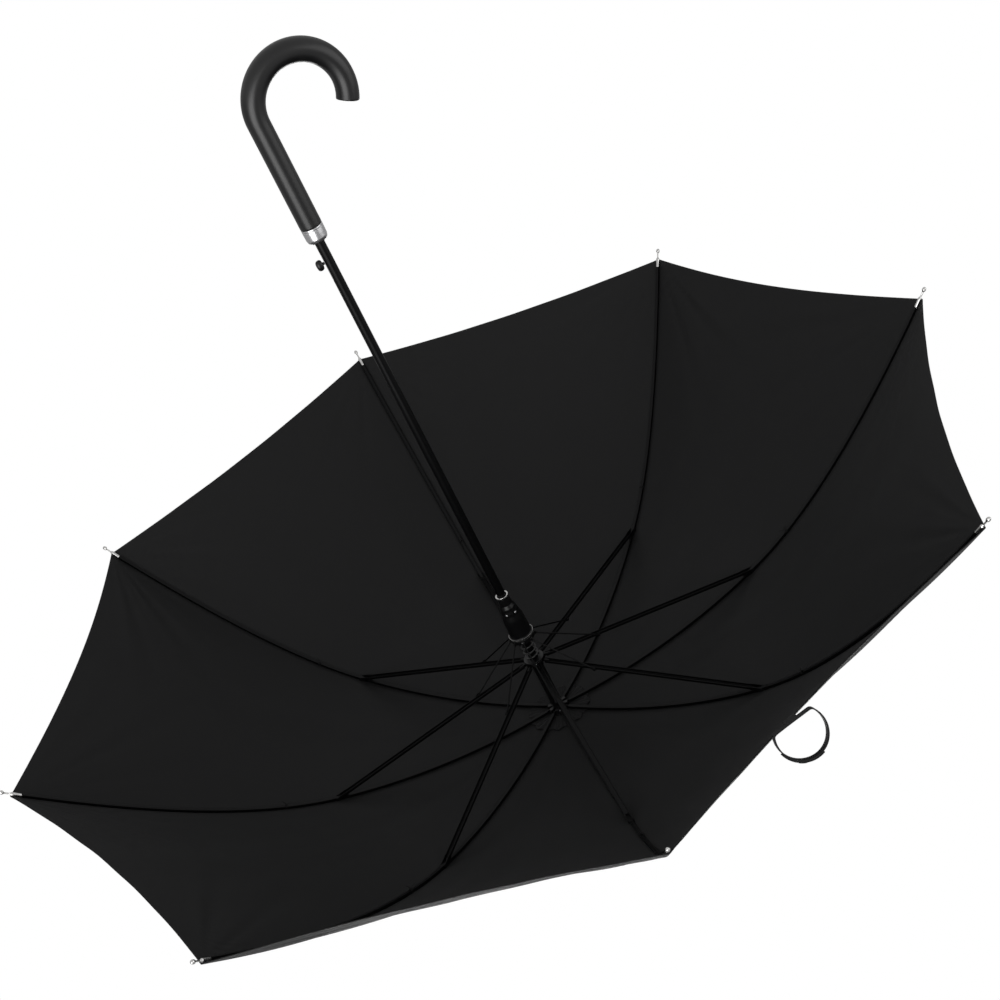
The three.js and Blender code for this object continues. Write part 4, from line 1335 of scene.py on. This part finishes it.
@dataclass
class Strap:
    """The tie strap, snapped into a loop that hangs from the hem, in millimetres."""

    canopy: Canopy
    radius: float = 21.0
    flat: float = 11.0
    width: float = 11.5
    thickness: float = 1.1
    panel: int = 2
    share: float = 0.62
    clear: float = 1.0
    forward: float = 8.0
    azimuth: float = 103.0
    elevation: float = -31.0
    body: str = "rib_end_4"

    def _axes(self) -> tuple[Array, Array, Array, Array]:
        """The hem's point that the strap hangs from, and the loop's directions: along, away and facing."""
        way = self.canopy.end(np.array([self.share])) + 0.0
        anchor = self.canopy.point(way, np.array([self.share]), self.panel)[0]
        a, e = math.radians(self.azimuth), math.radians(self.elevation)
        facing = np.array([math.cos(e) * math.cos(a), math.cos(e) * math.sin(a), math.sin(e)])
        hem = np.array([-anchor[1], anchor[0], 0.0])
        hem /= np.linalg.norm(hem)
        along = hem - facing * (hem @ facing)
        along /= np.linalg.norm(along)
        return anchor, along, np.cross(facing, along), facing

    def build(self) -> None:
        """Makes the loop with its overlapped end and snap, and the tab that joins it to the hem."""
        anchor, along, away, facing = self._axes()
        centre = anchor + away * (self.flat + self.clear) * MM + facing * self.forward * MM
        corner = math.asin(self.flat / self.radius)
        a = np.linspace(-corner, math.pi + corner, 110)
        ring = self.radius * np.stack([np.cos(a), np.sin(a)], axis=-1)
        base = np.stack([np.linspace(ring[-1, 0], ring[0, 0], 40), np.full(40, -self.flat)], axis=-1)[1:-1]
        outline = np.vstack([ring, base])
        eased = outline.copy()
        for _ in range(6):
            eased = (np.roll(eased, 1, axis=0) + 2 * eased + np.roll(eased, -1, axis=0)) / 4
        path = centre + (eased[:, :1] * along + eased[:, 1:] * away) * MM
        path = path + facing * (0.6 * MM * np.sin(3 * np.linspace(0, 2 * math.pi, len(path))))[:, None]
        tangent = np.roll(path, -1, axis=0) - np.roll(path, 1, axis=0)
        tangent /= np.linalg.norm(tangent, axis=1, keepdims=True)
        inward = np.cross(facing, tangent)
        inward /= np.linalg.norm(inward, axis=1, keepdims=True)
        w, h = self.width / 2, self.thickness / 2
        section = rounded([(-w, -h), (w, -h), (w, h), (-w, h)], 0.45)
        grid = path[:, None] + section[None, :, :1] * facing + section[None, :, 1:] * inward[:, None]
        form = Form().grid(grid, wrap_rows=True)
        lap = slice(20, 62)
        raised = path[lap] - inward[lap] * (self.thickness + 0.05) * MM
        over = raised[:, None] + section[None, :, :1] * facing + section[None, :, 1:] * inward[lap][:, None]
        form.rod(over)
        piece = form.piece("tie_strap_loop", Slot.WEBBING, WEBBING)
        self._map(piece)
        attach(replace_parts(piece, "tie_strap"), self.body)
        self._fold(piece, anchor)
        self._snap(path[40] - inward[40] * 1.9 * MM, tangent[40], facing, -inward[40])
        self._tab(anchor, along, centre - away * self.flat * MM)

    def _map(self, piece: bpy.types.Object) -> None:
        """Gives the loop a UV map from its own x and z, in metres.

        Args:
            piece: the loop.
        """
        mesh = piece.data
        at = np.zeros(len(mesh.vertices) * 3, np.float32)
        mesh.vertices.foreach_get("co", at)
        corner = np.zeros(len(mesh.loops), np.int32)
        mesh.loops.foreach_get("vertex_index", corner)
        uv = mesh.uv_layers.new(name="cut")
        uv.data.foreach_set("uv", at.reshape(-1, 3)[corner][:, [0, 2]].ravel())

    def _fold(self, piece: bpy.types.Object, anchor: Array) -> None:
        """Works out the side and tip of the strap's rib, and gives the piece its own mesh."""
        side = turned_about_shaft(np.array([0.0, 1.0, 0.0]), azimuth_of(3))
        x, z = self.canopy.line.tip
        tip = turned_about_shaft(np.array([x, 0.0, z]), azimuth_of(3))
        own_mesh(piece)

    def _snap(self, place: Array, x: Array, y: Array, out: Array) -> None:
        """The snap's cap: a low dome with a rolled edge.

        Args:
            place: its middle.
            x: its first axis.
            y: its second axis.
            out: the way it faces.
        """
        profile = rounded([(0, -0.6), (3.4, -0.6), (3.9, 0.0), (3.4, 0.5), (2.4, 0.4), (0, 0.9)], 0.4,
                          closed=False)
        turn = lathe(profile, 36)
        grid = place + turn[..., :1] * x + turn[..., 1:2] * y + turn[..., 2:] * out
        piece = Form().grid(grid).piece("strap_snap", Slot.BRIGHT_STEEL, OILED)
        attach(piece, self.body)
        self._fold(piece, place)

    def _tab(self, anchor: Array, along: Array, end: Array) -> None:
        """A short doubled band that is sewn into the hem and holds the loop.

        Args:
            anchor: the hem's point that it hangs from.
            along: the direction across the band.
            end: the middle of the loop's flat side.
        """
        t = np.linspace(-0.35, 1.1, 14)[:, None, None]
        s = np.linspace(-0.5, 0.5, 9)[None, :, None]
        surface = anchor + (end - anchor) * t + along * s * self.width * MM
        normal = np.cross(end - anchor, along)
        normal /= np.linalg.norm(normal)
        cut = np.stack(np.broadcast_arrays(s[..., 0] * 0.012, t[..., 0] * 0.01), axis=-1)
        piece = sheet_piece("tie_strap_tab", surface - normal * 0.0006, surface + normal * 0.0006, None, cut,
                            Slot.WEBBING, WEBBING)
        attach(piece, self.body)
        area = area_of(surface)
        self._fold(piece, anchor)


# ---- studio ---------------------------------------------------------------------------------------


@dataclass
class Studio:
    """A pale floor, a white surround, soft lights and the camera, which looks up into the open umbrella."""

    eye: tuple[float, float, float] = (-0.2895, 1.4236, -0.3702)
    right: tuple[float, float, float] = (0.8204, 0.42419, 0.38341)
    up: tuple[float, float, float] = (0.53741, -0.34305, -0.77039)
    back: tuple[float, float, float] = (-0.19527, 0.83808, -0.50941)
    lens: float = 62.38
    floor_height: float = -0.6
    ambient: float = 0.42

    def build(self) -> None:
        """Makes the whole studio."""
        self.floor()
        self.surround()
        self.camera()
        target = np.array([0.0, 0.0, 0.6])
        self.light("key_softbox", (-1.6, 1.9, 0.4), target, 2.0, 60.0)
        self.light("fill_softbox", (1.9, 1.5, -0.1), target, 2.4, 30.0)
        self.light("rim_softbox", (0.3, -1.8, 2.2), target, 1.6, 40.0)

    def floor(self) -> None:
        """A wide pale plane."""
        mesh = bpy.data.meshes.new("floor")
        side = 12.0
        corners = [(-side, -side, self.floor_height), (side, -side, self.floor_height),
                   (side, side, self.floor_height), (-side, side, self.floor_height)]
        mesh.from_pydata(corners, [], [(0, 1, 2, 3)])
        thing = bpy.data.objects.new("floor", mesh)
        bpy.context.scene.collection.objects.link(thing)
        board = Board("pale_floor")
        board.shader.inputs["Base Color"].default_value = (0.82, 0.82, 0.82, 1.0)
        board.shader.inputs["Roughness"].default_value = 0.8
        mesh.materials.append(board.material)

    def surround(self) -> None:
        """A plain white world, which looks brighter than it lights."""
        world = bpy.data.worlds.new("white_surround")
        world.use_nodes = True
        tree = world.node_tree
        background = tree.nodes["Background"]
        background.inputs["Color"].default_value = (1.0, 1.0, 1.0, 1.0)
        seen = tree.nodes.new("ShaderNodeLightPath").outputs["Is Camera Ray"]
        strength = tree.nodes.new("ShaderNodeMapRange")
        strength.inputs["To Min"].default_value = self.ambient
        tree.links.new(seen, strength.inputs["Value"])
        tree.links.new(strength.outputs["Result"], background.inputs["Strength"])
        bpy.context.scene.world = world
        bpy.context.scene.view_settings.view_transform = "Standard"

    def camera(self) -> None:
        """The camera, from its eye and its three directions."""
        data = bpy.data.cameras.new("camera")
        data.lens, data.sensor_width = self.lens, 36.0
        data.clip_start, data.clip_end = 0.01, 100.0
        thing = bpy.data.objects.new("camera", data)
        bpy.context.scene.collection.objects.link(thing)
        axes = np.array([self.right, self.up, self.back]).T
        place = np.eye(4)
        place[:3, :3], place[:3, 3] = axes, self.eye
        thing.matrix_world = Matrix(place.tolist())
        bpy.context.scene.camera = thing

    @staticmethod
    def light(name: str, at: tuple[float, float, float], target: Array, size: float, watts: float) -> None:
        """A square soft light that faces a point.

        Args:
            name: the light's name.
            at: its place.
            target: the point it faces.
            size: its side, in metres.
            watts: its power.
        """
        data = bpy.data.lights.new(name, "AREA")
        data.energy, data.size = watts, size
        thing = bpy.data.objects.new(name, data)
        bpy.context.scene.collection.objects.link(thing)
        back = np.array(at) - target
        back /= np.linalg.norm(back)
        x = np.cross([0.0, 0.0, 1.0], back)
        x /= np.linalg.norm(x)
        place = np.eye(4)
        place[:3, :3], place[:3, 3] = np.array([x, np.cross(back, x), back]).T, at
        thing.matrix_world = Matrix(place.tolist())


def main() -> None:
    """Builds the umbrella from the handle to the cloth, then the studio."""
    logging.basicConfig(level=logging.INFO, format="%(name)s %(message)s")
    line = RibLine()
    HandleEnd().build()
    Works().build()
    for number in range(1, ARMS + 1):
        Arm(number, line).build()
    canopy = Canopy(line)
    canopy.build()
    Strap(canopy).build()
    Studio().build()


if __name__ == "__main__":
    main()
